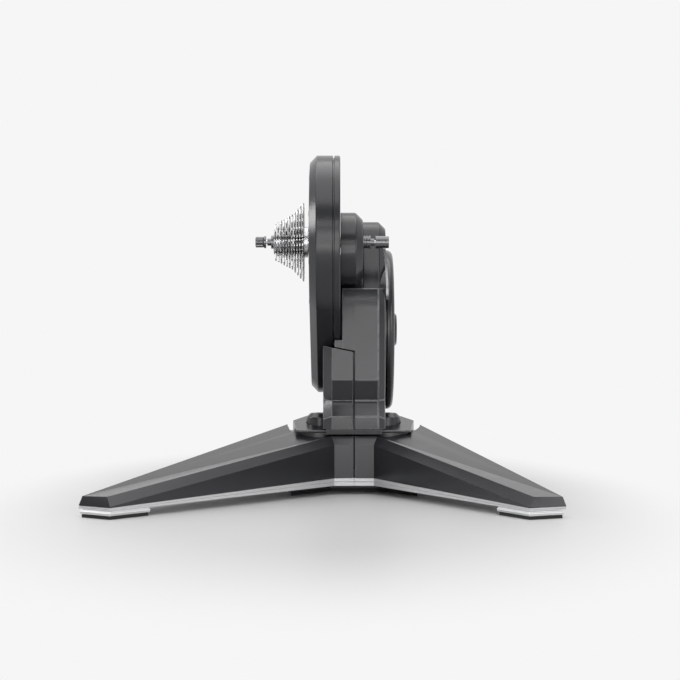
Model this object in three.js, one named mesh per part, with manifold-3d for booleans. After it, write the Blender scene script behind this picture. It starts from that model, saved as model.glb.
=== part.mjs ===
// Direct drive bicycle trainer, in millimetres, +Z up, standing on its feet at z = 0.
// While it is built, x = 0 is the bicycle's centre plane with the cassette on the -x side,
// y = 0 is the plane of the rear axle with the bicycle pointing to -y, and z = 0 is the floor.
// The finished group is shifted so that its origin is at the bottom centre of its bounding box.
import * as THREE from 'three';
import { mergeVertices } from 'three/addons/utils/BufferGeometryUtils.js';
import Module from 'manifold-3d';

const wasm = await Module();
wasm.setup();

// Driving dimensions: the bicycle and the two wheel centres of the belt drive
const axleHeight = 341;
const dropoutSpacing = 135;
const flywheelHeightShare = 0.654;
const leverRoom = 8;

// Clearances and cut allowances
const seatGap = 0.3;
const turnGap = 0.4;
const slideGap = 0.6;
const cutOverrun = 2;

// Drive side housing: a disc over each wheel, joined by tangents
const pulleyToDisc = 25;
const lowerDiscRadius = 90;
const coverOuterX = -14.5;
const coverRimX = -5;
const coverEdgeInset = 10;
const coverSeamX = 16.4;
const seamGroove = 2;
const seamLip = 2;
const bulkheadThick = 5;
const flangeOuterX = 26.4;
const housingWall = 3;
const axleOpeningRadius = 23;

// Tower: the front column and the flywheel drum behind it
const towerLeftX = 3;
const towerSeamX = 45;
const towerRightX = 87.5;
const towerSideBevel = 9.5;
const towerFrontY = -20;
const towerShoulderGap = 3;
const towerFaceDrop = 20;
const towerShoulderSetback = 8;
const towerUndercutDepth = 16;
const towerRampRise = 17.7;
const towerUndercutRise = 14;
const towerCreaseRise = 35;
const towerTongueRise = 40.5;
const towerSeamRise = 13.5;
const towerFootReach = 27;
const columnBackY = 21;
const drumRadius = 110;
const drumRightX = 90.4;
const drumBevel = 4;
const shoulderRadius = 40;
const shoulderForward = 22;
const shoulderDrop = 5;
const shoulderLeftX = 58;
const shoulderBevel = 10;

// Flywheel cover and its bearing cap on the right
const flywheelCoverOverhang = 4;
const flywheelCoverThick = 10;
const flywheelCoverRound = 4;
const bearingCapRadius = 24;
const bearingCapThick = 6;
const bearingCapBevel = 3;

// Hub housing round the non drive end of the axle
const hubHousingRadius = 50;
const hubHousingDrop = 10;
const hubHousingRightX = 57;
const hubHousingBevel = 10;

// Cassette, freehub and axle
const chainPitch = 12.7;
const toothHeight = 2.9;
const rollerRadius = 3.9;
const sprocketPitch = 3.74;
const sprocketThick = 1.7;
const sprocketTeeth = [11, 12, 13, 14, 15, 16, 17, 19, 21, 23, 25];
const toothRootShare = 0.3;
const toothTipShare = 0.12;
const cassetteSetIn = 5.5;
const lockringRadius = 16.8;
const lockringThick = 1.4;
const freehubRadius = 15.6;
const splineHeight = 1.2;
const splineCount = 9;
const splineWidthShare = 0.5;
const spacerRadius = 18.3;
const lockringBore = 12.5;
const hubFlangeRadius = 21;
const hubFlangeThick = 5.4;
const axleRadius = 7.5;
const axleBoreRadius = 3.2;
const endCapRadius = 9;
const spigotRadius = 4.9;
const spigotLength = 5.2;
const dropoutThick = 6.5;
const hubBearingThick = 4.2;
const adapterLength = 9.6;
const adapterRadius = 9;
const adapterGrooveDepth = 1.2;
const adapterGrooveCount = 2;

// Quick release
const skewerRadius = 2.5;
const nutRadius = 7.2;
const nutLength = 14.5;
const nutFlangeRadius = 8.2;
const nutFlangeThick = 3;
const leverHeadRadius = 8.6;
const leverHeadLength = 18;
const leverNeckLength = 6;
const leverPivotShare = 0.75;
const leverEyeRadius = 5;
const leverEyeWidth = 5.4;
const leverPinRadius = 2;
const leverLength = 78;
const leverWidth = 13;
const leverThick = 3.2;
const leverLean = 4.3;
const leverSectionShares = [
  [0, 0.4, 0], [0.14, 0.4, 0.15], [0.4, 0.8, 0.6], [0.7, 1, 0.95], [0.93, 0.95, 1], [1, 0.6, 1],
];

// Belt drive
const largePulleyRadius = 92;
const smallPulleyRadius = 16;
const pulleyLeftX = -6;
const pulleyWidth = 14;
const pulleyHubRadius = 22;
const pulleyWeb = 4;
const pulleyRim = 6;
const pulleyHoleCount = 6;
const pulleyHoleRadius = 16;
const beltMargin = 1;
const beltThick = 3;
const idlerRadius = 13;
const idlerArmLength = 46;
const idlerArmWidth = 14;
const idlerArmThick = 5;
const idlerStubRadius = 4;
const idlerRunShare = 0.5;

// Flywheel, shaft and brake
const flywheelRoom = 12;
const flywheelWidth = 34;
const flywheelRim = 26;
const flywheelWeb = 10;
const flywheelHubRadius = 18;
const shaftRadius = 7.5;
const bearingRadius = 16;
const bearingWidth = 9;
const statorInner = 46;
const statorMargin = 10;
const statorThick = 4;
const coilCount = 9;
const coilRadius = 9.5;
const coilHeight = 5;
const brakeGap = 1.5;
const boardY = 6;
const boardRise = 3;
const boardHeight = 62;
const boardThick = 1.6;
const chipMargin = 6;
const chipThick = 3;

// Base between the legs
const pinSpread = 47;
const pinForward = 33;
const pinRadius = 9;
const pinCapRadius = 19.5;
const pinCapRise = 18;
const pinCapBevel = 6;
const knuckleRadius = 46.6;
const deckThick = 7;
const drumToDeck = 33;
const baseCoverRise = 11;
const plateBottomZ = 5;
const plateTopZ = 11;
const rearFootReach = 131;
const rearFootFrontHalf = 1;
const rearFootBackHalf = 30;
const rearFootWall = 4;
const rearFootStartShare = 1.02;
const rearPadLength = 30;
const inletHeightShare = 0.5;
const inletRadius = 7;
const inletBore = 4;
const inletLip = 1.5;
const lightOffset = 16;
const lightRadius = 2.5;
const deckFrontY = -8;
const deckFrontHalf = 38;
const saddleReach = 22;
const spineReach = 95;
const saddleWrap = 20;
const coverFrontReach = 46;
const coverFrontHalf = 79;
const coverWaistReach = 12;
const coverWaistHalf = 86;
const coverBackReach = 42;
const coverBackHalf = 66;
const plateTipForward = 20;
const plateTipHalf = 88;
const plateNotchDepth = 37;
const plateNotchHalf = 32;
const plateBackReach = 43;
const plateBackHalf = 70;

// Legs: each runs from the nose at the seam to its tip
const noseY = -22;
const leftTipX = -240;
const rightTipX = 245;
const legTipY = -308;
const legTipWidth = 50;
const legTipSkew = 6;
const stripRootBottomZ = 11.8;
const stripRootTopZ = 21.7;
const stripTipBottomZ = 9.8;
const stripTipTopZ = 13.4;
const legRidgeDrop = 2;
const legRidgeTipZ = 26;
const legOuterRise = 11;
const legOuterTipZ = 24.6;
const legEdgeHeight = 11;
const legEdgeWidth = 8.5;
const legWall = 3;
const footLength = 60;
const footHolderBottomZ = 4.2;
const footInset = 3;
const padInset = 4;
const noseHalf = 26.5;
const legOuterInset = 3;
const bossWall = 8;
const footOutset = 2;
const footWidth = 46;
const hollowTopShare = 0.5;

// Round surfaces
const discSegments = 32;
const innerSegments = 24;
const smallSegments = 16;
const bearingSegments = 12;
const boltSegments = 8;

// Values worked out from the driving dimensions
const seamHalfGap = seatGap / 2;
const lockFaceX = dropoutSpacing / 2;
const cassetteLeftX = cassetteSetIn - lockFaceX;
const upperDiscRadius = largePulleyRadius + pulleyToDisc;
const flywheelY = drumRadius + leverRoom;
const flywheelHeight = axleHeight * flywheelHeightShare;
const flywheelRadius = drumRadius - flywheelRoom;
const flywheelCoverRadius = drumRadius + flywheelCoverOverhang;
const statorOuter = flywheelRadius - statorMargin;
const shoulderY = flywheelY - shoulderForward;
const shoulderZ = axleHeight - shoulderDrop;
const deckBottomZ = flywheelHeight - drumRadius - drumToDeck;
const deckTopZ = deckBottomZ + deckThick;
const towerFootZ = deckTopZ + seatGap;
const towerRampZ = towerFootZ + towerRampRise;
const towerUndercutZ = towerRampZ + towerUndercutRise;
const towerCreaseZ = towerUndercutZ + towerCreaseRise;
const towerTongueZ = towerCreaseZ + towerTongueRise;
const towerSeamTopZ = towerTongueZ + towerSeamRise;
const towerShoulderZ = axleHeight - hubHousingDrop - hubHousingRadius - towerShoulderGap;
const towerFaceTopZ = towerShoulderZ - towerFaceDrop;
const boardBottomZ = towerUndercutZ + boardRise;
const pinCapTopZ = deckTopZ + pinCapRise;
const baseCoverBackZ = deckBottomZ + baseCoverRise;
const legRidgeRootZ = deckBottomZ - legRidgeDrop;
const legOuterRootZ = deckBottomZ + legOuterRise;
const inletZ = plateTopZ + (deckBottomZ - plateTopZ) * inletHeightShare;
const pinY = flywheelY - pinForward;
const towerFootBackY = pinY - towerFootReach;
const saddleBackY = pinY + saddleReach;
const spineBackY = pinY + spineReach;
const rearFootBackY = pinY + rearFootReach;
const coverFrontY = pinY - coverFrontReach;
const coverWaistY = pinY + coverWaistReach;
const coverBackY = pinY + coverBackReach;
const plateTipY = noseY - plateTipForward;
const plateNotchY = noseY + plateNotchDepth;
const plateBackY = pinY + plateBackReach;
const beltRatio = smallPulleyRadius / largePulleyRadius;

const part = new THREE.Group();

// Finishes
function finish(color, roughness, metalness) {
  return new THREE.MeshStandardMaterial({ color, roughness, metalness });
}
const darkShell = () => finish(0x3d4042, 0.5, 0.1);
const blackPlastic = () => finish(0x1d1e20, 0.55, 0);
const legPlastic = () => finish(0x4b4e52, 0.5, 0.1);
const silverPaint = () => finish(0xb2b4b5, 0.45, 0.5);
const rubber = () => finish(0x161616, 0.9, 0);
const steel = () => finish(0xb9bcbe, 0.3, 1);
const darkSteel = () => finish(0x55585b, 0.4, 1);
const castIron = () => finish(0x3a3c3e, 0.6, 0.8);
const board = () => finish(0x1f4d33, 0.6, 0);
const beltRubber = () => finish(0x1a1a1b, 0.8, 0);

// Turns any closed geometry into a solid whose faces point outward
function toSolid(geometry) {
  const bare = new THREE.BufferGeometry();
  bare.setAttribute('position', geometry.getAttribute('position'));
  bare.setIndex(geometry.getIndex());
  const merged = mergeVertices(bare);
  const corners = merged.getAttribute('position').array;
  const source = merged.getIndex().array;
  const triangles = [];
  let volume = 0;
  const a = new THREE.Vector3();
  const b = new THREE.Vector3();
  const c = new THREE.Vector3();
  for (let i = 0; i < source.length; i += 3) {
    const [p, q, r] = [source[i], source[i + 1], source[i + 2]];
    if (p !== q && q !== r && r !== p) {
      triangles.push(p, q, r);
      a.fromArray(corners, 3 * p);
      b.fromArray(corners, 3 * q);
      c.fromArray(corners, 3 * r);
      volume += a.dot(b.cross(c));
    }
  }
  if (volume < 0) {
    triangles.reverse();
  }
  const vertProperties = new Float32Array(corners);
  const triVerts = new Uint32Array(triangles);
  return new wasm.Manifold(new wasm.Mesh({ numProp: 3, vertProperties, triVerts }));
}

function toGeometry(solid) {
  const mesh = solid.getMesh();
  const geometry = new THREE.BufferGeometry();
  geometry.setAttribute('position', new THREE.BufferAttribute(mesh.vertProperties, 3));
  geometry.setIndex(new THREE.BufferAttribute(mesh.triVerts, 1));
  geometry.computeVertexNormals();
  return geometry;
}

function addPart(name, solid, material, group = part) {
  const mesh = new THREE.Mesh(toGeometry(solid), material);
  mesh.name = name;
  group.add(mesh);
  return mesh;
}

function unite(solids) {
  return solids.reduce((sum, solid) => sum.add(solid));
}

function cutAll(solid, cutters) {
  return cutters.reduce((rest, cutter) => rest.subtract(cutter), solid);
}

// A closed solid through rings that all have the same number of points
function loft(rings) {
  const count = rings[0].length;
  const points = rings.flat();
  const index = [];
  for (let ring = 0; ring + 1 < rings.length; ring += 1) {
    for (let i = 0; i < count; i += 1) {
      const j = (i + 1) % count;
      const low = ring * count;
      const high = low + count;
      index.push(low + i, low + j, high + j, low + i, high + j, high + i);
    }
  }
  const caps = [[0, true], [rings.length - 1, false]];
  for (const [ring, reversed] of caps) {
    for (const face of capFaces(rings[ring])) {
      const corners = face.map((corner) => ring * count + corner);
      index.push(...(reversed ? corners.reverse() : corners));
    }
  }
  const geometry = new THREE.BufferGeometry().setFromPoints(points);
  geometry.setIndex(index);
  return toSolid(geometry);
}

// Triangles of a flat ring, turned the way the ring runs
function capFaces(ring) {
  const normal = new THREE.Vector3();
  const step = new THREE.Vector3();
  ring.forEach((point, i) => {
    step.crossVectors(point, ring[(i + 1) % ring.length]);
    normal.add(step);
  });
  const turn = new THREE.Quaternion().setFromUnitVectors(normal.normalize(), new THREE.Vector3(0, 0, 1));
  const flat = ring.map((point) => point.clone().applyQuaternion(turn));
  return THREE.ShapeUtils.triangulateShape(flat.map((point) => new THREE.Vector2(point.x, point.y)), []);
}

// Outline of circles joined by tangents, as [y, z] points, counter-clockwise
function hullOutline(circles, segments = discSegments) {
  const points = [];
  for (const circle of circles) {
    for (let i = 0; i < segments; i += 1) {
      const angle = 2 * Math.PI * i / segments;
      points.push(new THREE.Vector2(
        circle.y + circle.radius * Math.cos(angle),
        circle.z + circle.radius * Math.sin(angle),
      ));
    }
  }
  return convexOutline(points);
}

// Convex outline round a set of points, counter-clockwise
function convexOutline(points) {
  const sorted = [...points].sort((a, b) => a.x - b.x || a.y - b.y);
  const turn = (o, a, b) => (a.x - o.x) * (b.y - o.y) - (a.y - o.y) * (b.x - o.x);
  const half = (list) => {
    const kept = [];
    for (const point of list) {
      while (kept.length > 1 && turn(kept.at(-2), kept.at(-1), point) <= 0) {
        kept.pop();
      }
      kept.push(point);
    }
    kept.pop();
    return kept;
  };
  return [...half(sorted), ...half(sorted.reverse())];
}

function shapeOf(points, holes = []) {
  const shape = new THREE.Shape(points);
  holes.forEach((hole) => shape.holes.push(new THREE.Path(hole)));
  return shape;
}

function circlePoints(radius, y = 0, z = 0, segments = discSegments) {
  return Array.from({ length: segments }, (_, i) => {
    const angle = 2 * Math.PI * i / segments;
    return new THREE.Vector2(y + radius * Math.cos(angle), z + radius * Math.sin(angle));
  });
}

// Extrudes a side view, drawn as (y, z), from one x to another
function extrudeX(shape, leftX, rightX) {
  const geometry = new THREE.ExtrudeGeometry(shape, { depth: rightX - leftX, bevelEnabled: false });
  const sideView = new THREE.Matrix4().makeBasis(
    new THREE.Vector3(0, 1, 0),
    new THREE.Vector3(0, 0, 1),
    new THREE.Vector3(1, 0, 0),
  );
  geometry.applyMatrix4(sideView);
  geometry.translate(leftX, 0, 0);
  return toSolid(geometry);
}

// Extrudes a plan, drawn as (x, y), from one height to another
function extrudeZ(shape, bottomZ, topZ) {
  const geometry = new THREE.ExtrudeGeometry(shape, { depth: topZ - bottomZ, bevelEnabled: false });
  geometry.translate(0, 0, bottomZ);
  return toSolid(geometry);
}

// A ring of a side view at one x, for loft
function ringAtX(points, x) {
  return points.map((point) => new THREE.Vector3(x, point.x, point.y));
}

// Revolves a profile of [x, radius] pairs about a line along x through (y, z)
function revolveX(profile, y, z, segments = discSegments) {
  const points = profile.map(([x, radius]) => new THREE.Vector2(radius, x));
  const geometry = new THREE.LatheGeometry(points, segments);
  geometry.rotateZ(-Math.PI / 2);
  geometry.translate(0, y, z);
  return toSolid(geometry);
}

function rodX(radius, leftX, rightX, y, z, segments = discSegments) {
  return revolveX([[leftX, 0], [leftX, radius], [rightX, radius], [rightX, 0]], y, z, segments);
}

function ringX(outer, inner, leftX, rightX, y, z, segments = discSegments) {
  const profile = [[leftX, inner], [leftX, outer], [rightX, outer], [rightX, inner], [leftX, inner]];
  return revolveX(profile, y, z, segments);
}

function rodY(radius, frontY, backY, x, z, segments = smallSegments) {
  const geometry = new THREE.CylinderGeometry(radius, radius, backY - frontY, segments);
  geometry.translate(x, (frontY + backY) / 2, z);
  return toSolid(geometry);
}

function rodZ(radius, bottomZ, topZ, x, y, segments = discSegments) {
  return extrudeZ(shapeOf(circlePoints(radius, x, y, segments)), bottomZ, topZ);
}

function box(leftX, rightX, frontY, backY, bottomZ, topZ) {
  const geometry = new THREE.BoxGeometry(rightX - leftX, backY - frontY, topZ - bottomZ);
  geometry.translate((leftX + rightX) / 2, (frontY + backY) / 2, (bottomZ + topZ) / 2);
  return toSolid(geometry);
}

// Side view of the housing discs, both circles drawn in by the same inset
function discOutline(inset = 0) {
  return hullOutline([
    { y: 0, z: axleHeight, radius: upperDiscRadius - inset },
    { y: flywheelY, z: flywheelHeight, radius: lowerDiscRadius - inset },
  ]);
}

// Side view of the tower's front face, from a top height down to the foot, drawn in by an inset
function towerOutline(topZ, backY, inset = 0) {
  const frontY = towerFrontY + inset;
  const undercutY = frontY + towerUndercutDepth;
  const points = [
    [backY, topZ - inset],
    [frontY, topZ - inset],
    [frontY, towerCreaseZ],
    [undercutY, towerUndercutZ],
    [frontY, towerRampZ],
    [frontY, towerFootZ + inset],
    [backY, towerFootZ + inset],
  ];
  return points.map(([y, z]) => new THREE.Vector2(y, z));
}

// Side view of the upper tower with its set-back shoulder
function shoulderOutline(backY, inset = 0) {
  const frontY = towerFrontY + inset;
  const points = [
    [backY, towerShoulderZ - inset],
    [frontY + towerShoulderSetback, towerShoulderZ - inset],
    [frontY, towerFaceTopZ],
    [frontY, towerTongueZ],
    [backY, towerTongueZ],
  ];
  return points.map(([y, z]) => new THREE.Vector2(y, z));
}

// Wedge that takes the vertical front edge off the tower at one side
function towerEdgeCutter(edgeX, side) {
  const inner = edgeX - side * (towerSideBevel + cutOverrun);
  const outer = edgeX + side * cutOverrun;
  const front = towerFrontY - cutOverrun;
  const plan = [
    new THREE.Vector2(inner, front),
    new THREE.Vector2(outer, front),
    new THREE.Vector2(outer, towerFrontY + towerSideBevel + cutOverrun),
  ];
  return extrudeZ(shapeOf(plan), towerFootZ - cutOverrun, towerShoulderZ + cutOverrun);
}

// Drive side shell: the belt cover's dish with the lower left half of the tower
const shellInnerX = coverOuterX + housingWall;

function makeDriveSideShell() {
  const disc = loft([
    ringAtX(discOutline(coverEdgeInset), coverOuterX),
    ringAtX(discOutline(), coverRimX),
    ringAtX(discOutline(), coverSeamX),
  ]);
  const sideColumn = extrudeX(
    shapeOf(towerOutline(towerTongueZ, towerFootBackY)), towerLeftX, coverSeamX);
  const seamColumn = extrudeX(
    shapeOf(towerOutline(towerTongueZ, columnBackY)), coverSeamX - cutOverrun, towerSeamX - seamHalfGap);
  const outer = unite([disc, sideColumn, seamColumn]).subtract(towerEdgeCutter(towerLeftX, -1));
  const beltRoom = loft([
    ringAtX(discOutline(coverEdgeInset + housingWall), shellInnerX),
    ringAtX(discOutline(housingWall), coverRimX + housingWall),
    ringAtX(discOutline(housingWall), coverSeamX + cutOverrun),
  ]);
  const columnRoom = extrudeX(
    shapeOf(towerOutline(towerTongueZ, columnBackY - housingWall, housingWall)),
    towerLeftX + towerSideBevel, towerSeamX);
  const axleOpening = rodX(
    axleOpeningRadius, coverOuterX - cutOverrun, shellInnerX + cutOverrun, 0, axleHeight);
  return cutAll(outer, [beltRoom, columnRoom, axleOpening]);
}

addPart('drive_side_shell', makeDriveSideShell(), darkShell());

// Flywheel side shell: flange of the disc, bulkhead, front column, drum and rear shoulder
const lipX = coverSeamX + seatGap;
const flangeX = coverSeamX + seamGroove;
const bulkheadX = flangeX + bulkheadThick;
const drumLeftX = flangeOuterX + housingWall;
const columnLeftX = flangeOuterX + seamLip;
const shaftSeatRadius = bearingRadius + seatGap;
const axleSeatRadius = axleRadius + seatGap;

function shoulderHull(inset) {
  return hullOutline([
    { y: flywheelY, z: flywheelHeight, radius: drumRadius - inset },
    { y: shoulderY, z: shoulderZ, radius: shoulderRadius - inset },
  ]);
}

function makeFlywheelSideShell() {
  const flange = extrudeX(shapeOf(discOutline()), flangeX, flangeOuterX);
  const lip = extrudeX(shapeOf(discOutline(seamLip)), lipX, flangeX + cutOverrun);
  const drum = revolveX([
    [bulkheadX, 0],
    [bulkheadX, lowerDiscRadius - cutOverrun],
    [flangeOuterX, lowerDiscRadius],
    [flangeOuterX, drumRadius],
    [drumRightX, drumRadius],
    [drumRightX, 0],
  ], flywheelY, flywheelHeight);
  const shoulder = loft([
    ringAtX(shoulderHull(0), shoulderLeftX),
    ringAtX(shoulderHull(0), drumRightX - shoulderBevel),
    ringAtX(shoulderHull(shoulderBevel), drumRightX),
  ]);
  const upperColumn = extrudeX(
    shapeOf(shoulderOutline(towerFootBackY)), columnLeftX, towerRightX);
  const lowerColumn = extrudeX(
    shapeOf(towerOutline(towerTongueZ, towerFootBackY)), towerSeamX + seamHalfGap, towerRightX);
  const tongue = box(
    flangeX, columnLeftX + cutOverrun, towerFrontY, columnBackY, towerTongueZ + seatGap, towerSeamTopZ);
  const outer = unite([flange, lip, drum, shoulder, upperColumn, lowerColumn, tongue]);
  const beltRoom = extrudeX(shapeOf(discOutline(housingWall + seamLip)), lipX - cutOverrun, bulkheadX);
  const drumRoom = rodX(
    drumRadius - housingWall, drumLeftX, drumRightX + cutOverrun, flywheelY, flywheelHeight);
  const shoulderRoom = extrudeX(
    shapeOf(shoulderHull(shoulderBevel + housingWall)),
    shoulderLeftX + housingWall, drumRightX - housingWall);
  const upperRoom = extrudeX(
    shapeOf(shoulderOutline(towerFootBackY, housingWall)),
    columnLeftX + housingWall, towerRightX - towerSideBevel);
  const lowerRoom = extrudeX(
    shapeOf(towerOutline(towerTongueZ + cutOverrun, towerFootBackY - housingWall, housingWall)),
    towerSeamX + seamHalfGap + housingWall, towerRightX - towerSideBevel);
  const shaftSeat = rodX(
    shaftSeatRadius, bulkheadX - cutOverrun, drumLeftX + cutOverrun, flywheelY, flywheelHeight);
  const axleSeat = rodX(
    axleSeatRadius, bulkheadX - cutOverrun, columnLeftX + cutOverrun, 0, axleHeight);
  const driveColumn = extrudeX(
    shapeOf(towerOutline(towerTongueZ + seatGap, columnBackY + seatGap)),
    lipX - cutOverrun, towerSeamX + seamHalfGap);
  return cutAll(outer, [
    towerEdgeCutter(towerRightX, 1), beltRoom, drumRoom, shoulderRoom, upperRoom, lowerRoom,
    shaftSeat, axleSeat, driveColumn,
  ]);
}

addPart('flywheel_side_shell', makeFlywheelSideShell(), darkShell());

// Hub housing: a round cap on the flange that holds the non drive end of the axle
const hubHousingZ = axleHeight - hubHousingDrop;
const hubHousingLeftX = flangeOuterX + seatGap;

function makeHubHousing() {
  const body = revolveX([
    [hubHousingLeftX, 0],
    [hubHousingLeftX, hubHousingRadius],
    [hubHousingRightX - hubHousingBevel, hubHousingRadius],
    [hubHousingRightX, hubHousingRadius - hubHousingBevel],
    [hubHousingRightX, 0],
  ], 0, hubHousingZ);
  const room = rodX(
    hubHousingRadius - hubHousingBevel, hubHousingLeftX - cutOverrun, hubHousingRightX - hubHousingBevel,
    0, hubHousingZ);
  const boss = rodX(axleRadius + hubHousingBevel, hubHousingLeftX, hubHousingRightX, 0, axleHeight);
  const bore = rodX(
    axleSeatRadius, hubHousingLeftX - cutOverrun, hubHousingRightX + cutOverrun, 0, axleHeight);
  const drumSeat = rodX(
    drumRadius + seatGap, hubHousingLeftX - cutOverrun, hubHousingRightX + cutOverrun,
    flywheelY, flywheelHeight);
  return cutAll(body.subtract(room).add(boss), [bore, drumSeat]);
}

addPart('hub_housing', makeHubHousing(), darkShell());

// Flywheel cover with the right bearing's seat, and the cap over it
const flywheelCoverX = drumRightX + seatGap;
const flywheelCoverRightX = flywheelCoverX + flywheelCoverThick;
const bearingRightX = flywheelCoverRightX - bearingWidth - seatGap;

function makeFlywheelCover() {
  const disc = revolveX([
    [flywheelCoverX, 0],
    [flywheelCoverX, flywheelCoverRadius],
    [flywheelCoverRightX - flywheelCoverRound, flywheelCoverRadius],
    [flywheelCoverRightX, flywheelCoverRadius - flywheelCoverRound],
    [flywheelCoverRightX, 0],
  ], flywheelY, flywheelHeight);
  const hollow = ringX(
    drumRadius - housingWall, bearingRadius + flywheelCoverThick,
    flywheelCoverX - cutOverrun, flywheelCoverRightX - housingWall, flywheelY, flywheelHeight);
  const seat = rodX(
    shaftSeatRadius, flywheelCoverX - cutOverrun, flywheelCoverRightX + cutOverrun,
    flywheelY, flywheelHeight);
  return disc.subtract(hollow).subtract(seat);
}

addPart('flywheel_cover', makeFlywheelCover(), darkShell());

addPart('bearing_cap', revolveX([
  [flywheelCoverRightX + seatGap, 0],
  [flywheelCoverRightX + seatGap, bearingCapRadius],
  [flywheelCoverRightX + seatGap + bearingCapThick - bearingCapBevel, bearingCapRadius],
  [flywheelCoverRightX + seatGap + bearingCapThick, bearingCapRadius - bearingCapBevel],
  [flywheelCoverRightX + seatGap + bearingCapThick, 0],
], flywheelY, flywheelHeight, smallSegments), darkShell());

// Base: a deck under the tower, a bottom plate under the leg roots and a rear foot
const knuckleTopZ = deckBottomZ - slideGap;
const pinXs = { left: towerSeamX - pinSpread, right: towerSeamX + pinSpread };
const saddleX = pinSpread - pinCapRadius - cutOverrun;

function planOf(pairs) {
  return pairs.map(([x, y]) => new THREE.Vector2(x, y));
}

function deckPlans(grow = 0) {
  const pins = hullOutline(Object.values(pinXs).map(
    (x) => ({ y: x, z: pinY, radius: pinCapRadius + seatGap + grow })));
  const front = planOf([
    [towerSeamX - deckFrontHalf - grow, deckFrontY - grow],
    [towerSeamX + deckFrontHalf + grow, deckFrontY - grow],
    [towerSeamX + deckFrontHalf + grow, pinY],
    [towerSeamX - deckFrontHalf - grow, pinY],
  ]);
  const tail = planOf([
    [towerSeamX - rearFootBackHalf - grow, rearFootBackY + grow],
    [towerSeamX - rearFootFrontHalf - grow, pinY],
    [towerSeamX + rearFootFrontHalf + grow, pinY],
    [towerSeamX + rearFootBackHalf + grow, rearFootBackY + grow],
  ]);
  return [pins, front, tail];
}

function makeDeck() {
  const plates = deckPlans().map((plan) => extrudeZ(shapeOf(plan), deckBottomZ, deckTopZ));
  const saddleTopZ = flywheelHeight - drumRadius + saddleWrap;
  const saddle = box(
    towerSeamX - saddleX, towerSeamX + saddleX, towerFootBackY + seatGap, saddleBackY,
    deckBottomZ, saddleTopZ);
  const spine = extrudeZ(shapeOf(deckPlans()[2]), deckTopZ - cutOverrun, saddleTopZ)
    .subtract(box(
      towerSeamX - coverFrontHalf, towerSeamX + coverFrontHalf, spineBackY, rearFootBackY + cutOverrun,
      deckTopZ, saddleTopZ + cutOverrun));
  const drumSeat = rodX(
    drumRadius + seatGap, flangeOuterX - cutOverrun, drumRightX + cutOverrun, flywheelY, flywheelHeight);
  const discSeat = rodX(
    lowerDiscRadius + seatGap, coverOuterX, flangeOuterX + seatGap, flywheelY, flywheelHeight);
  const pinSeats = Object.values(pinXs).map(
    (x) => rodZ(
      pinRadius + seatGap, deckBottomZ - cutOverrun, deckTopZ + cutOverrun, x, pinY, smallSegments));
  return cutAll(unite([...plates, saddle, spine]), [drumSeat, discSeat, ...pinSeats]);
}

addPart('base_deck', makeDeck(), castIron());

// The two moulded covers beside the tower: flat underneath, sloping up to the rear
function makeBaseCover(side) {
  const outline = [
    [coverFrontHalf, coverFrontY],
    [coverWaistHalf, coverWaistY],
    [coverBackHalf, coverBackY],
    [seatGap, coverBackY],
    [seatGap, coverFrontY],
  ];
  const slope = baseCoverRise / (coverBackY - coverFrontY);
  const bottomRing = outline.map(([half, y]) => new THREE.Vector3(towerSeamX + side * half, y, deckBottomZ));
  const topRing = outline.map(([half, y]) => new THREE.Vector3(
    towerSeamX + side * half, y, deckBottomZ + housingWall + slope * (y - coverFrontY)));
  const deckRoom = deckPlans(seatGap).map(
    (plan) => extrudeZ(shapeOf(plan), deckBottomZ - cutOverrun, baseCoverBackZ + housingWall + cutOverrun));
  const centreRoom = box(
    towerSeamX - deckFrontHalf, towerSeamX + deckFrontHalf, deckFrontY, coverBackY + cutOverrun,
    deckBottomZ - cutOverrun, baseCoverBackZ + housingWall + cutOverrun);
  return cutAll(loft([bottomRing, topRing]), [...deckRoom, centreRoom]);
}

addPart('left_base_cover', makeBaseCover(-1), darkShell());
addPart('right_base_cover', makeBaseCover(1), darkShell());

// Hinge pins run from the bottom plate through each leg root into the deck
for (const [side, x] of Object.entries(pinXs)) {
  const pin = rodZ(pinRadius, plateBottomZ, deckTopZ, x, pinY, smallSegments);
  addPart(`${side}_hinge_pin`, pin, steel());
  const capBottomZ = deckTopZ + seatGap;
  const cap = loft([
    [capBottomZ, pinCapRadius],
    [pinCapTopZ - pinCapBevel, pinCapRadius],
    [pinCapTopZ, pinCapRadius - pinCapBevel],
  ].map(([z, radius]) => circlePoints(radius, x, pinY, smallSegments).map(
    (point) => new THREE.Vector3(point.x, point.y, z))));
  addPart(`${side}_pin_cap`, cap, darkShell());
}

// Bottom plate with the rubber foot under it
function platePlan(inset = 0) {
  return planOf([
    [towerSeamX - plateTipHalf + inset, plateTipY + inset],
    [towerSeamX - plateNotchHalf, plateNotchY + inset],
    [towerSeamX + plateNotchHalf, plateNotchY + inset],
    [towerSeamX + plateTipHalf - inset, plateTipY + inset],
    [towerSeamX + plateTipHalf - inset, pinY],
    [towerSeamX + plateBackHalf - inset, plateBackY - inset],
    [towerSeamX - plateBackHalf + inset, plateBackY - inset],
    [towerSeamX - plateTipHalf + inset, pinY],
  ]);
}

function makeBottomPlate() {
  const plate = extrudeZ(shapeOf(platePlan()), plateBottomZ, plateTopZ);
  const tail = extrudeZ(shapeOf(deckPlans()[2]), plateBottomZ, plateTopZ);
  const pinSeats = Object.values(pinXs).map(
    (x) => rodZ(
      pinRadius + seatGap, plateBottomZ - cutOverrun, plateTopZ + cutOverrun, x, pinY, smallSegments));
  return cutAll(plate.add(tail), pinSeats);
}

addPart('bottom_plate', makeBottomPlate(), darkSteel());
addPart('centre_foot', extrudeZ(shapeOf(platePlan(padInset)), 0, plateBottomZ - seatGap), rubber());

// Rear foot: a hollow wedge between deck and bottom plate, with its own rubber pad
const rearFootFrontY = pinY + knuckleRadius * rearFootStartShare;

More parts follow.
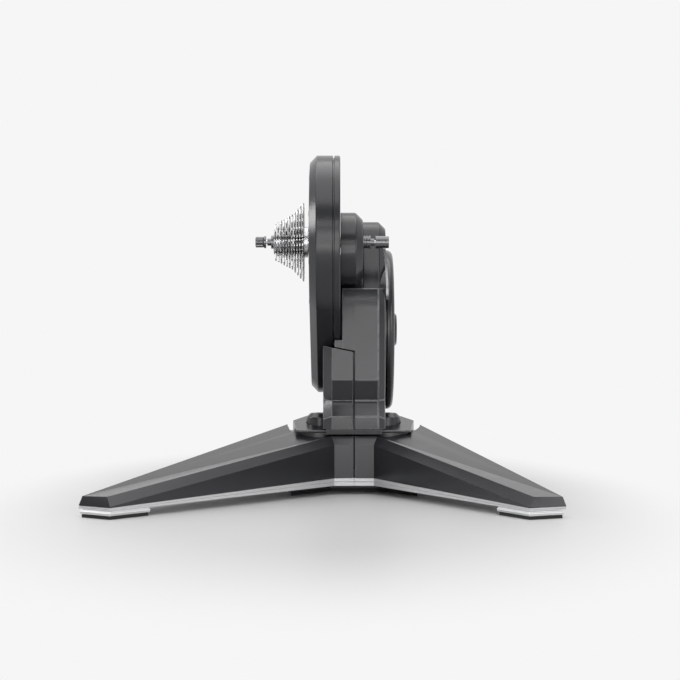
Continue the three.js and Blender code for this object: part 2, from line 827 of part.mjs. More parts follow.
function rearFootPlan(inset) {
  const taper = (rearFootBackHalf - rearFootFrontHalf) / (rearFootBackY - pinY);
  const half = (y) => rearFootFrontHalf + taper * (y - pinY) - inset;
  const frontY = rearFootFrontY + inset;
  const backY = rearFootBackY - inset;
  return planOf([
    [towerSeamX - half(frontY), frontY],
    [towerSeamX + half(frontY), frontY],
    [towerSeamX + half(backY), backY],
    [towerSeamX - half(backY), backY],
  ]);
}

function makeRearFoot() {
  const body = extrudeZ(shapeOf(rearFootPlan(0)), plateTopZ + seatGap, deckBottomZ - seatGap);
  const room = extrudeZ(
    shapeOf(rearFootPlan(rearFootWall)), plateTopZ - cutOverrun, deckBottomZ - seatGap - rearFootWall);
  const holes = [[towerSeamX, inletRadius], [towerSeamX + lightOffset, lightRadius]].map(
    ([x, radius]) => rodY(
      radius + seatGap, rearFootBackY - rearFootWall - cutOverrun, rearFootBackY + cutOverrun, x, inletZ));
  return cutAll(body, [room, ...holes]);
}

addPart('rear_foot', makeRearFoot(), castIron());

const rearPad = box(
  towerSeamX - rearFootBackHalf + padInset, towerSeamX + rearFootBackHalf - padInset,
  rearFootBackY - rearPadLength, rearFootBackY - padInset, 0, plateBottomZ - seatGap);
addPart('rear_pad', rearPad, rubber());

// Legs. Each is set out from its pin, its nose corner and the inner corner of its tip.
function legFrame(name) {
  const side = name === 'left' ? -1 : 1;
  const pin = new THREE.Vector2(pinXs[name], pinY);
  const nose = new THREE.Vector2(towerSeamX + side * noseHalf, noseY);
  const tip = new THREE.Vector2(name === 'left' ? leftTipX : rightTipX, legTipY);
  const along = tip.clone().sub(nose).normalize();
  const inward = new THREE.Vector2(side * along.y, -side * along.x);
  const outerTip = tip.clone().addScaledVector(inward, -legTipWidth).addScaledVector(along, legTipSkew);
  const toTip = outerTip.clone().sub(pin);
  const swing = side * Math.acos(knuckleRadius / toTip.length());
  const outerRoot = toTip.normalize().multiplyScalar(knuckleRadius)
    .rotateAround(new THREE.Vector2(), swing).add(pin);
  const seamX = towerSeamX + side * seamHalfGap;
  const seamFront = new THREE.Vector2(seamX, noseY);
  const seamBack = new THREE.Vector2(seamX, pinY);
  return { side, pin, nose, tip, along, inward, outerTip, outerRoot, seamFront, seamBack };
}

// Height of a plane that falls evenly from the nose corner to the tip
function fallingHeight(frame, point, rootZ, tipZ) {
  const run = frame.tip.clone().sub(frame.nose).dot(frame.along);
  const share = point.clone().sub(frame.nose).dot(frame.along) / run;
  return rootZ + (tipZ - rootZ) * share;
}

// Plan corners of a leg drawn in by an inset, and by a seam inset at the seam
function legCorners(frame, inset, outerInset = inset, seamInset = 0) {
  const { side, along, inward } = frame;
  const noseMitre = inset * (1 - along.x * side) / Math.abs(along.y);
  const move = (point, inwardBy, alongBy) => point.clone()
    .addScaledVector(inward, inwardBy).addScaledVector(along, alongBy);
  const outward = frame.pin.clone().sub(frame.outerRoot).normalize();
  return [
    new THREE.Vector2(frame.seamBack.x + side * seamInset, frame.seamBack.y - seamInset),
    new THREE.Vector2(frame.seamFront.x + side * seamInset, frame.seamFront.y + inset),
    new THREE.Vector2(frame.nose.x + side * noseMitre, frame.nose.y + inset),
    move(frame.tip, -inset, -outerInset),
    move(frame.outerTip, outerInset, -outerInset),
    frame.outerRoot.clone().addScaledVector(outward, outerInset),
  ];
}

function ringAt(corners, heights) {
  return corners.map((corner, i) => new THREE.Vector3(corner.x, corner.y, heights[i]));
}

const legRidges = [knuckleTopZ, legRidgeRootZ, legRidgeRootZ, legRidgeTipZ, legOuterTipZ, legOuterRootZ];
const legEdges = legRidges.map((z, i) => z - (i === 0 ? seatGap : legEdgeHeight));

function makeLegShell(frame) {
  const outline = legCorners(frame, 0);
  const stripTop = (corner) => fallingHeight(frame, corner, stripRootTopZ, stripTipTopZ) + seatGap;
  const body = loft([
    ringAt(outline, outline.map(stripTop)),
    ringAt(outline, legEdges),
    ringAt(legCorners(frame, legEdgeWidth, legOuterInset), legRidges),
  ]);
  const knuckle = loft([
    circlePoints(knuckleRadius, frame.pin.x, frame.pin.y),
    circlePoints(knuckleRadius, frame.pin.x, frame.pin.y),
  ].map((circle, level) => circle.map(
    (point) => new THREE.Vector3(point.x, point.y, level === 0 ? stripTop(point) : knuckleTopZ))));
  const roomCorners = legCorners(frame, legWall, legWall, legWall);
  const topCorners = legCorners(
    frame, legEdgeWidth + legWall * hollowTopShare, legOuterInset + legWall, legWall);
  const room = loft([
    ringAt(roomCorners, roomCorners.map((corner) => stripTop(corner) - cutOverrun)),
    ringAt(roomCorners, legEdges.map((z) => Math.min(z, legRidgeRootZ - legEdgeHeight) - legWall / 2)),
    ringAt(topCorners, legRidges.map((z) => Math.min(z, legRidgeRootZ) - legWall)),
  ]);
  const boss = rodZ(pinRadius + bossWall, 0, knuckleTopZ, frame.pin.x, frame.pin.y, smallSegments);
  const bore = rodZ(
    pinRadius + turnGap, 0, legOuterRootZ + cutOverrun, frame.pin.x, frame.pin.y, smallSegments);
  return cutAll(unite([body, knuckle]), [room.subtract(boss), bore, deckSweep(frame)]);
}

// The space over a leg root that the deck and the base cover keep free while the leg turns
function deckSweep(frame) {
  const topZ = legOuterRootZ + legEdgeHeight;
  const turning = rodZ(knuckleRadius + slideGap, knuckleTopZ, topZ, frame.pin.x, frame.pin.y);
  const halves = [coverFrontHalf, coverWaistHalf].map((half) => towerSeamX + frame.side * (half + slideGap));
  const plan = planOf([
    [halves[0], coverFrontY - slideGap],
    [halves[1], coverWaistY],
    [towerSeamX, coverWaistY],
    [towerSeamX, deckFrontY - slideGap],
    [towerSeamX + frame.side * (deckFrontHalf + slideGap), deckFrontY - slideGap],
    [towerSeamX + frame.side * (deckFrontHalf + slideGap), coverFrontY - slideGap],
  ]);
  return turning.add(extrudeZ(shapeOf(plan), knuckleTopZ, topZ));
}

// The silver plate under the leg, which shows as a strip along its lower edge
function makeLegPlate(frame) {
  const outline = legCorners(frame, 0);
  const circle = circlePoints(knuckleRadius, frame.pin.x, frame.pin.y);
  const bottom = (point) => fallingHeight(frame, point, stripRootBottomZ, stripTipBottomZ);
  const top = (point) => fallingHeight(frame, point, stripRootTopZ, stripTipTopZ);
  const body = loft([ringAt(outline, outline.map(bottom)), ringAt(outline, outline.map(top))]);
  const knuckle = loft([ringAt(circle, circle.map(bottom)), ringAt(circle, circle.map(top))]);
  const bore = rodZ(pinRadius + turnGap, 0, knuckleTopZ, frame.pin.x, frame.pin.y, smallSegments);
  return body.add(knuckle).subtract(bore);
}

// The foot under the tip: a silver holder with a rubber pad in it
function footPlan(frame, inset) {
  const { inward, along, tip } = frame;
  const corner = (inwardBy, alongBy) => tip.clone()
    .addScaledVector(inward, inwardBy).addScaledVector(along, alongBy);
  const inner = footOutset - inset;
  const outer = inset - footWidth;
  return [
    corner(inner, footOutset - inset),
    corner(outer, footOutset + legTipSkew - inset),
    corner(outer, inset - footLength),
    corner(inner, inset - footLength),
  ];
}

function makeFootHolder(frame) {
  const plan = footPlan(frame, 0);
  const top = (point) => fallingHeight(frame, point, stripRootBottomZ, stripTipBottomZ) - seatGap;
  return loft([
    ringAt(footPlan(frame, footInset), plan.map(() => footHolderBottomZ)),
    ringAt(plan, plan.map(() => footHolderBottomZ + footInset)),
    ringAt(plan, plan.map(top)),
  ]);
}

function makeFootPad(frame) {
  const plan = footPlan(frame, padInset);
  return loft([
    ringAt(plan, plan.map(() => 0)),
    ringAt(plan, plan.map(() => footHolderBottomZ - seatGap)),
  ]);
}

for (const name of ['left', 'right']) {
  const frame = legFrame(name);
  addPart(`${name}_leg_shell`, makeLegShell(frame), legPlastic());
  addPart(`${name}_leg_plate`, makeLegPlate(frame), silverPaint());
  addPart(`${name}_foot_holder`, makeFootHolder(frame), silverPaint());
  addPart(`${name}_foot_pad`, makeFootPad(frame), rubber());
}

// Cassette: toothed sprockets on the splines of the freehub, smallest outermost
function splineOutline(radius) {
  const points = [];
  for (let i = 0; i < splineCount; i += 1) {
    const centre = 2 * Math.PI * i / splineCount;
    const half = Math.PI * splineWidthShare / splineCount;
    const crest = radius + splineHeight;
    const corners = [[-half, radius], [-half, crest], [half, crest], [half, radius]];
    for (const [offset, reach] of corners) {
      points.push(new THREE.Vector2(
        reach * Math.cos(centre + offset), axleHeight + reach * Math.sin(centre + offset)));
    }
  }
  return points;
}

function sprocketOutline(teeth) {
  const pitch = 2 * Math.PI / teeth;
  const pitchRadius = chainPitch / (2 * Math.sin(pitch / 2));
  const root = pitchRadius - rollerRadius;
  const tip = pitchRadius + toothHeight;
  const points = [];
  for (let i = 0; i < teeth; i += 1) {
    const valley = i * pitch;
    const crest = valley + pitch / 2;
    const corners = [
      [valley - pitch * toothRootShare / 2, root],
      [valley + pitch * toothRootShare / 2, root],
      [crest - pitch * toothTipShare / 2, tip],
      [crest + pitch * toothTipShare / 2, tip],
    ];
    for (const [angle, radius] of corners) {
      points.push(new THREE.Vector2(radius * Math.cos(angle), axleHeight + radius * Math.sin(angle)));
    }
  }
  return points;
}

const cassetteRightX = cassetteLeftX + sprocketPitch * (sprocketTeeth.length - 1) + sprocketThick;

sprocketTeeth.forEach((teeth, i) => {
  const leftX = cassetteLeftX + sprocketPitch * i;
  const bore = splineOutline(freehubRadius + seatGap);
  const isLast = i === sprocketTeeth.length - 1;
  const disc = extrudeX(shapeOf(sprocketOutline(teeth)), leftX, leftX + sprocketThick);
  const spacer = extrudeX(
    shapeOf(circlePoints(spacerRadius, 0, axleHeight, smallSegments)),
    leftX + sprocketThick / 2, leftX + (isLast ? sprocketThick : sprocketPitch - seatGap));
  const hole = extrudeX(shapeOf(bore), leftX - cutOverrun, leftX + sprocketPitch + cutOverrun);
  addPart(`sprocket_${teeth}`, disc.add(spacer).subtract(hole), steel());
});

addPart('lockring', ringX(
  lockringRadius, lockringBore, cassetteLeftX - seatGap - lockringThick, cassetteLeftX - seatGap,
  0, axleHeight, smallSegments), steel());

// Freehub body: splines, a flange behind the largest sprocket and a neck into the housing
const flangeLeftX = cassetteRightX + seatGap;
const neckRightX = pulleyLeftX - slideGap;
const axleLeftX = cassetteLeftX - lockringThick - seatGap * 2;
const hubBearingRadius = axleRadius + hubBearingThick;

function makeFreehub() {
  const splines = extrudeX(shapeOf(splineOutline(freehubRadius)), cassetteLeftX, flangeLeftX + cutOverrun);
  const flange = revolveX([
    [flangeLeftX, 0],
    [flangeLeftX, hubFlangeRadius],
    [flangeLeftX + hubFlangeThick, hubFlangeRadius],
    [flangeLeftX + hubFlangeThick, freehubRadius],
    [neckRightX, freehubRadius],
    [neckRightX, 0],
  ], 0, axleHeight, smallSegments);
  const bore = rodX(
    axleRadius + turnGap, cassetteLeftX - cutOverrun, neckRightX + cutOverrun, 0, axleHeight, smallSegments);
  const bearingSeat = rodX(
    hubBearingRadius + turnGap, cassetteLeftX - cutOverrun, cassetteLeftX + bearingWidth + slideGap,
    0, axleHeight, smallSegments);
  return cutAll(splines.add(flange), [bore, bearingSeat]);
}

addPart('freehub_body', makeFreehub(), steel());
addPart('freehub_bearing', ringX(
  hubBearingRadius, axleRadius + seatGap, cassetteLeftX, cassetteLeftX + bearingWidth,
  0, axleHeight, bearingSegments), steel());

// Fixed hollow axle with the two ends that the bicycle's dropouts sit on
const axleRightX = lockFaceX - adapterLength - seatGap;
addPart('fixed_axle', ringX(
  axleRadius, axleBoreRadius, axleLeftX, axleRightX, 0, axleHeight, smallSegments), steel());

addPart('drive_side_end_cap', revolveX([
  [axleLeftX - seatGap, axleBoreRadius],
  [axleLeftX - seatGap, endCapRadius],
  [-lockFaceX, endCapRadius],
  [-lockFaceX, spigotRadius],
  [-lockFaceX - spigotLength, spigotRadius],
  [-lockFaceX - spigotLength, axleBoreRadius],
  [axleLeftX - seatGap, axleBoreRadius],
], 0, axleHeight, smallSegments), darkSteel());

function makeAdapter() {
  const leftX = axleRightX + seatGap;
  const step = adapterLength / (2 * adapterGrooveCount + 1);
  const profile = [[leftX, axleBoreRadius], [leftX, adapterRadius]];
  for (let i = 0; i < adapterGrooveCount; i += 1) {
    const grooveX = leftX + step * (2 * i + 1);
    profile.push(
      [grooveX, adapterRadius],
      [grooveX, adapterRadius - adapterGrooveDepth],
      [grooveX + step, adapterRadius - adapterGrooveDepth],
      [grooveX + step, adapterRadius],
    );
  }
  profile.push(
    [lockFaceX, adapterRadius],
    [lockFaceX, spigotRadius],
    [lockFaceX + spigotLength, spigotRadius],
    [lockFaceX + spigotLength, axleBoreRadius],
    [leftX, axleBoreRadius],
  );
  return revolveX(profile, 0, axleHeight, smallSegments);
}

addPart('non_drive_adapter', makeAdapter(), darkSteel());

// Quick release: rod, nut, slotted head and the lever in its slot
const headLeftX = lockFaceX + dropoutThick + seatGap;
const nutRightX = -lockFaceX - dropoutThick - seatGap;
const leverPivotX = headLeftX + leverHeadLength - leverHeadRadius * leverPivotShare;

addPart('skewer_rod', rodX(
  skewerRadius, nutRightX - nutLength, headLeftX + leverNeckLength / 2, 0, axleHeight,
  smallSegments), steel());

addPart('quick_release_nut', revolveX([
  [nutRightX, skewerRadius + seatGap],
  [nutRightX, nutFlangeRadius],
  [nutRightX - nutFlangeThick, nutFlangeRadius],
  [nutRightX - nutFlangeThick, nutRadius],
  [nutRightX - nutLength, nutRadius],
  [nutRightX - nutLength, skewerRadius + seatGap],
  [nutRightX, skewerRadius + seatGap],
], 0, axleHeight, smallSegments), blackPlastic());

function makeLeverHead() {
  const barrel = rodX(leverHeadRadius, headLeftX, headLeftX + leverHeadLength, 0, axleHeight, smallSegments);
  const slotHalf = leverEyeWidth / 2 + turnGap;
  const slot = box(
    headLeftX + leverNeckLength, headLeftX + leverHeadLength + cutOverrun, -slotHalf, slotHalf,
    axleHeight - leverHeadRadius - cutOverrun, axleHeight + leverHeadRadius + cutOverrun);
  const pin = rodY(leverPinRadius, -slotHalf - cutOverrun, slotHalf + cutOverrun, leverPivotX, axleHeight);
  const bore = rodX(
    skewerRadius + seatGap, headLeftX - cutOverrun, headLeftX + leverNeckLength / 2 + seatGap,
    0, axleHeight, smallSegments);
  return barrel.subtract(slot).add(pin).subtract(bore);
}

addPart('quick_release_head', makeLeverHead(), blackPlastic());

function makeLever() {
  const eye = rodY(leverEyeRadius, -leverEyeWidth / 2, leverEyeWidth / 2, leverPivotX, axleHeight);
  const sections = leverSectionShares.map(([downShare, widthShare, leanShare]) => {
    const z = axleHeight - leverLength * downShare;
    const x = leverPivotX + leverLean * leanShare;
    const halfWidth = leverWidth * widthShare / 2;
    const halfThick = leverThick / 2;
    const corners = [[-1, -1], [1, -1], [1, 1], [-1, 1]];
    return corners.map(([across, out]) => new THREE.Vector3(x + across * halfThick, out * halfWidth, z));
  });
  const bore = rodY(
    leverPinRadius + turnGap, -leverEyeWidth, leverEyeWidth, leverPivotX, axleHeight);
  return eye.add(loft(sections)).subtract(bore);
}

addPart('quick_release_lever', makeLever(), steel());

// Belt drive inside the housing disc
const pulleyRightX = pulleyLeftX + pulleyWidth;
const pulleyWebX = (pulleyLeftX + pulleyRightX) / 2;

function makeLargePulley() {
  const halfWeb = pulleyWeb / 2;
  return revolveX([
    [pulleyLeftX, hubBearingRadius + turnGap],
    [pulleyLeftX, pulleyHubRadius],
    [pulleyWebX - halfWeb, pulleyHubRadius],
    [pulleyWebX - halfWeb, largePulleyRadius - pulleyRim],
    [pulleyLeftX, largePulleyRadius - pulleyRim],
    [pulleyLeftX, largePulleyRadius],
    [pulleyRightX, largePulleyRadius],
    [pulleyRightX, largePulleyRadius - pulleyRim],
    [pulleyWebX + halfWeb, largePulleyRadius - pulleyRim],
    [pulleyWebX + halfWeb, pulleyHubRadius],
    [pulleyRightX, pulleyHubRadius],
    [pulleyRightX, hubBearingRadius + turnGap],
    [pulleyLeftX, hubBearingRadius + turnGap],
  ], 0, axleHeight, innerSegments);
}

const pulleyHoles = Array.from({ length: pulleyHoleCount }, (_, i) => {
  const angle = 2 * Math.PI * i / pulleyHoleCount;
  const reach = (pulleyHubRadius + largePulleyRadius - pulleyRim) / 2;
  return rodX(
    pulleyHoleRadius, pulleyLeftX - cutOverrun, pulleyRightX + cutOverrun,
    reach * Math.cos(angle), axleHeight + reach * Math.sin(angle), boltSegments);
});
addPart('large_pulley', cutAll(makeLargePulley(), pulleyHoles), castIron());
addPart('pulley_bearing', ringX(
  hubBearingRadius, axleRadius + seatGap, pulleyLeftX + slideGap, pulleyRightX, 0, axleHeight,
  bearingSegments), steel());
addPart('small_pulley', ringX(
  smallPulleyRadius, shaftRadius + seatGap, pulleyLeftX, pulleyRightX, flywheelY, flywheelHeight,
  smallSegments), steel());

const flatShare = Math.cos(Math.PI / innerSegments);
const beltRadii = {
  large: (largePulleyRadius + seatGap) / flatShare,
  small: (smallPulleyRadius + seatGap) / flatShare,
};

function beltOutline(extra) {
  return hullOutline([
    { y: 0, z: axleHeight, radius: beltRadii.large + extra },
    { y: flywheelY, z: flywheelHeight, radius: beltRadii.small + extra },
  ], innerSegments);
}

addPart('drive_belt', extrudeX(
  shapeOf(beltOutline(beltThick), [beltOutline(0)]), pulleyLeftX + beltMargin, pulleyRightX - beltMargin,
), beltRubber());

// Tensioner: an idler that leans on the outside of the belt's front run
const wheelSpan = new THREE.Vector2(flywheelY, flywheelHeight - axleHeight);
const runCosine = (beltRadii.large - beltRadii.small) / wheelSpan.length();
const runNormal = wheelSpan.clone().normalize()
  .rotateAround(new THREE.Vector2(), -Math.acos(runCosine));
const runAlong = new THREE.Vector2(-runNormal.y, runNormal.x);
const runStart = new THREE.Vector2(0, axleHeight).addScaledVector(runNormal, beltRadii.large + beltThick);
const runEnd = new THREE.Vector2(flywheelY, flywheelHeight)
  .addScaledVector(runNormal, beltRadii.small + beltThick);
const idlerCentre = runStart.clone().lerp(runEnd, idlerRunShare)
  .addScaledVector(runNormal, idlerRadius + seatGap);
const armPivot = idlerCentre.clone().addScaledVector(runAlong, idlerArmLength);
const armLeftX = pulleyRightX + slideGap;
const armRightX = armLeftX + idlerArmThick;

function makeTensionerArm() {
  const arm = extrudeX(shapeOf(hullOutline([
    { y: idlerCentre.x, z: idlerCentre.y, radius: idlerArmWidth / 2 },
    { y: armPivot.x, z: armPivot.y, radius: idlerArmWidth / 2 },
  ], smallSegments)), armLeftX, armRightX);
  const stub = rodX(
    idlerStubRadius, pulleyLeftX, armLeftX + idlerArmThick / 2, idlerCentre.x, idlerCentre.y, smallSegments);
  const bore = rodX(
    idlerStubRadius + turnGap, armLeftX - cutOverrun, armRightX + cutOverrun, armPivot.x, armPivot.y,
    smallSegments);
  return arm.add(stub).subtract(bore);
}

addPart('tensioner_arm', makeTensionerArm(), darkSteel());
addPart('tensioner_pin', rodX(
  idlerStubRadius, armLeftX - seatGap, bulkheadX - seatGap, armPivot.x, armPivot.y, smallSegments), steel());
addPart('idler_pulley', ringX(
  idlerRadius, idlerStubRadius + turnGap, pulleyLeftX + beltMargin, pulleyRightX - beltMargin,
  idlerCentre.x, idlerCentre.y, smallSegments), steel());

// Flywheel on its shaft, its bearings and the brake's stator beside it
const statorLeftX = drumLeftX + seatGap;
const flywheelLeftX = statorLeftX + statorThick + coilHeight + brakeGap;
const flywheelRightX = flywheelLeftX + flywheelWidth;

function makeFlywheel() {
  const webLeftX = flywheelLeftX + (flywheelWidth - flywheelWeb) / 2;
  const webRightX = webLeftX + flywheelWeb;
  const rimInner = flywheelRadius - flywheelRim;
  const bore = shaftRadius + seatGap;
  return revolveX([
    [flywheelLeftX, bore],
    [flywheelLeftX, flywheelHubRadius],
    [webLeftX, flywheelHubRadius],
    [webLeftX, rimInner],
    [flywheelLeftX, rimInner],
    [flywheelLeftX, flywheelRadius],
    [flywheelRightX, flywheelRadius],
    [flywheelRightX, rimInner],
    [webRightX, rimInner],
    [webRightX, flywheelHubRadius],
    [flywheelRightX, flywheelHubRadius],
    [flywheelRightX, bore],
    [flywheelLeftX, bore],
  ], flywheelY, flywheelHeight, innerSegments);
}

addPart('flywheel', makeFlywheel(), castIron());
addPart('flywheel_shaft', rodX(
  shaftRadius, pulleyLeftX, flywheelCoverRightX, flywheelY, flywheelHeight, smallSegments), steel());
addPart('left_flywheel_bearing', ringX(
  bearingRadius, shaftRadius + turnGap, drumLeftX - bearingWidth / 2, drumLeftX,
  flywheelY, flywheelHeight, bearingSegments), steel());
addPart('right_flywheel_bearing', ringX(
  bearingRadius, shaftRadius + turnGap, bearingRightX, bearingRightX + bearingWidth,
  flywheelY, flywheelHeight, bearingSegments), steel());

function makeStator() {
  const plate = ringX(
    statorOuter, statorInner, statorLeftX, statorLeftX + statorThick, flywheelY, flywheelHeight,
    innerSegments);
  const coilReach = (statorInner + statorOuter) / 2;
  const coils = Array.from({ length: coilCount }, (_, i) => {
    const angle = 2 * Math.PI * i / coilCount;
    return rodX(
      coilRadius, statorLeftX + statorThick / 2, statorLeftX + statorThick + coilHeight,
      flywheelY + coilReach * Math.cos(angle), flywheelHeight + coilReach * Math.sin(angle), boltSegments);
  });
  return unite([plate, ...coils]);
}

addPart('brake_stator', makeStator(), darkSteel());

// Electronics: a circuit board in the tower, a power inlet and a light in the rear foot
const boardLeftX = towerSeamX + seamHalfGap + housingWall + seatGap;
const boardRightX = towerRightX - towerSideBevel - seatGap;
addPart('circuit_board', unite([
  box(boardLeftX, boardRightX, boardY, boardY + boardThick, boardBottomZ, boardBottomZ + boardHeight),
  box(
    boardLeftX + chipMargin, boardRightX - chipMargin, boardY - chipThick, boardY + boardThick / 2,
    boardBottomZ + chipMargin, boardBottomZ + boardHeight / 2),
]), board());

function makeInlet() {
  const wallFrontY = rearFootBackY - rearFootWall - rearFootWall;
  const body = rodY(
    inletRadius, wallFrontY, rearFootBackY + inletLip, towerSeamX, inletZ);
  const hole = rodY(
    inletBore, wallFrontY + rearFootWall, rearFootBackY + inletLip + cutOverrun, towerSeamX, inletZ);
  return body.subtract(hole);
}

addPart('power_inlet', makeInlet(), blackPlastic());
addPart('status_light', rodY(
  lightRadius, rearFootBackY - rearFootWall, rearFootBackY + inletLip, towerSeamX + lightOffset, inletZ),
finish(0x8fd0ff, 0.3, 0));

// Origin at the bottom centre of the bounding box
const bounds = new THREE.Box3().setFromObject(part);
const middle = bounds.getCenter(new THREE.Vector3());
part.position.set(-middle.x, -middle.y, -bounds.min.z);

export default part;
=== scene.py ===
"""Looks of a direct drive bicycle trainer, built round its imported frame.

Sizes in the classes are in the millimetres of the part's own design space, where x = 0 is the
bicycle's centre plane, y = 0 the plane of the rear axle and z = 0 the floor. They become the
frame's metres when a piece is finished.
"""

import logging
import math
from collections.abc import Callable, Iterable, Sequence
from dataclasses import dataclass
from enum import Enum

import bmesh
import bpy
from bmesh.types import BMEdge, BMFace, BMVert
from mathutils import Matrix, Vector


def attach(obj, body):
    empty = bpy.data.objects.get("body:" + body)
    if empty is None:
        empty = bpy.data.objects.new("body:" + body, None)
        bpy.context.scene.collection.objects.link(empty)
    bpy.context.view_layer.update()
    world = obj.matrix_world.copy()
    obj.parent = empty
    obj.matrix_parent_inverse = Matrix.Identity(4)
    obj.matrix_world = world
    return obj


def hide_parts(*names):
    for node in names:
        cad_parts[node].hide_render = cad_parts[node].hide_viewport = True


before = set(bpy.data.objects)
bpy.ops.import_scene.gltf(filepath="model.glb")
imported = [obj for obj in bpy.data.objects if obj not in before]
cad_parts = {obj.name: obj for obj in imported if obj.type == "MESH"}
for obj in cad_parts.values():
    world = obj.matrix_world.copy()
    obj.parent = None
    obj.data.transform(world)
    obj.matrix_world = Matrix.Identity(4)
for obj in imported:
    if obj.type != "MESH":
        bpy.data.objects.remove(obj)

LOG = logging.getLogger("trainer")
MILLIMETRE = 0.001
# From the part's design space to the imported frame, in millimetres.
SHIFT = Vector((-4.87196, 39.41241, 0.0))
TO_FRAME = Matrix.Scale(MILLIMETRE, 4) @ Matrix.Translation(SHIFT)
TO_DESIGN = TO_FRAME.inverted()
# Face attribute that marks bevels, where a finish is painted lighter, partly as worn edges and
# partly as a painted highlight.
EDGE_ATTRIBUTE = "edge"
# Millimetres: points this close are one point, and points this close to a plane lie on it.
MERGE_DISTANCE = 0.002
TOUCHING = 0.01
# Degrees: edges above the first are bevelled, above the second they stay sharp, and below the
# third a copied solid's faces are merged.
SHARP_ANGLE = 24.0
CREASE_ANGLE = 32.0
FLAT_ANGLE = 0.6
# A wall's steepest normal along z, and the least share of an upright edge that runs along z.
WALL_TILT = 0.3
UPRIGHT_SHARE = 0.9
SWEEP_SEGMENTS = 160
X_AXIS = Vector((1.0, 0.0, 0.0))
Y_AXIS = Vector((0.0, 1.0, 0.0))
Z_AXIS = Vector((0.0, 0.0, 1.0))

Pair = tuple[float, float]
Triple = tuple[float, float, float]
Color = Triple
Value = "float | Color | Wire"
Verts = list[BMVert]
Edges = list[BMEdge]
# A profile: place along the axis, reach and rounding of each corner in turn.
Corners = tuple[Triple, ...]


# ---- Shader graphs ----


class Wire:
    """One output of a shader graph. Sums and products of it add Math nodes."""

    def __init__(self, graph: "Graph", socket: bpy.types.NodeSocket) -> None:
        """Wraps a socket of a graph."""
        self.graph = graph
        self.socket = socket

    def _math(self, operation: str, first: Value, second: Value) -> "Wire":
        """Adds one Math node on two values."""
        return self.graph.add("ShaderNodeMath", {"operation": operation}, {0: first, 1: second})

    def __add__(self, other: Value) -> "Wire":
        """Sum."""
        return self._math("ADD", self, other)

    def __mul__(self, other: Value) -> "Wire":
        """Product."""
        return self._math("MULTIPLY", self, other)

    def above(self, low: float, high: float) -> "Wire":
        """Rises smoothly from 0 at low to 1 at high."""
        settings = {"interpolation_type": "SMOOTHSTEP"}
        return self.graph.add("ShaderNodeMapRange", settings, {0: self, 1: low, 2: high})


class Graph:
    """The node tree of one material or world."""

    def __init__(self, owner: bpy.types.Material | bpy.types.World) -> None:
        """Empties the owner's tree."""
        self.owner = owner
        owner.use_nodes = True
        self.nodes = owner.node_tree.nodes
        self.links = owner.node_tree.links
        self.nodes.clear()

    def add(
        self,
        kind: str,
        settings: dict[str, object] | None = None,
        values: dict[int | str, Value] | None = None,
        output: int | str = 0,
    ) -> Wire | None:
        """Adds one node.

        Args:
            kind: The node's type.
            settings: Properties of the node, set first.
            values: Numbers, colours or wires for its sockets, by index or name.
            output: The output to hand back, by index or name.

        Returns:
            The wanted output, or None for a node without outputs.
        """
        node = self.nodes.new(kind)
        for name, value in (settings or {}).items():
            setattr(node, name, value)
        for socket, value in (values or {}).items():
            if isinstance(value, Wire):
                self.links.new(value.socket, node.inputs[socket])
            elif isinstance(value, tuple) and node.inputs[socket].type == "RGBA":
                node.inputs[socket].default_value = (*value, 1.0)
            else:
                node.inputs[socket].default_value = value
        return Wire(self, node.outputs[output]) if node.outputs else None

    def place(self) -> Wire:
        """The place on the object."""
        return self.add("ShaderNodeTexCoord", output="Object")

    def _vector(self, operation: str, first: Wire, second: Value = (0.0, 0.0, 0.0)) -> Wire:
        """Adds one Vector Math node."""
        output = "Value" if operation == "LENGTH" else "Vector"
        settings = {"operation": operation}
        return self.add("ShaderNodeVectorMath", settings, {0: first, 1: second}, output)

    def stretched(self, place: Wire, scale: Triple, centre: Triple = (0.0, 0.0, 0.0)) -> Wire:
        """A place measured from a centre and scaled on each axis."""
        return self._vector("MULTIPLY", self._vector("SUBTRACT", place, centre), scale)

    def length(self, place: Wire) -> Wire:
        """Distance of a place from its origin."""
        return self._vector("LENGTH", place)

    def axis(self, place: Wire, name: str) -> Wire:
        """One coordinate of a place."""
        return self.add("ShaderNodeSeparateXYZ", values={0: place}, output=name)

    def noise(self, place: Wire, scale: float, detail: float = 2.0) -> Wire:
        """Smooth noise from 0 to 1, with so many lumps to the metre."""
        values = {"Vector": place, "Scale": scale, "Detail": detail}
        return self.add("ShaderNodeTexNoise", values=values)

    def cells(self, place: Wire, scale: float) -> Wire:
        """Distance to the nearest of scattered points."""
        return self.add("ShaderNodeTexVoronoi", values={"Vector": place, "Scale": scale})

    def mix(self, factor: Value, first: Value, second: Value) -> Wire:
        """Blends two colours."""
        values = {0: factor, 6: first, 7: second}
        return self.add("ShaderNodeMix", {"data_type": "RGBA"}, values, 2)

    def bump(self, height: Wire, strength: float, distance: float) -> Wire:
        """A normal raised by a height in metres."""
        values = {"Height": height, "Strength": strength, "Distance": distance}
        return self.add("ShaderNodeBump", values=values)

    def seen(self) -> Wire:
        """1 for rays from the eye, a reflection or through glass, and 0 for light that spreads."""
        rays = ("Is Camera Ray", "Is Glossy Ray", "Is Transmission Ray")
        eye, mirror, glass = (self.add("ShaderNodeLightPath", output=ray) for ray in rays)
        return (eye + mirror + glass).above(0.0, 1.0)

    def surface(self, shader: Wire) -> bpy.types.Material | bpy.types.World:
        """Ends the graph in a surface and hands back its owner."""
        is_world = isinstance(self.owner, bpy.types.World)
        kind = "ShaderNodeOutputWorld" if is_world else "ShaderNodeOutputMaterial"
        self.add(kind, values={"Surface": shader})
        return self.owner


# ---- Finishes ----


DUST = (0.32, 0.31, 0.3)
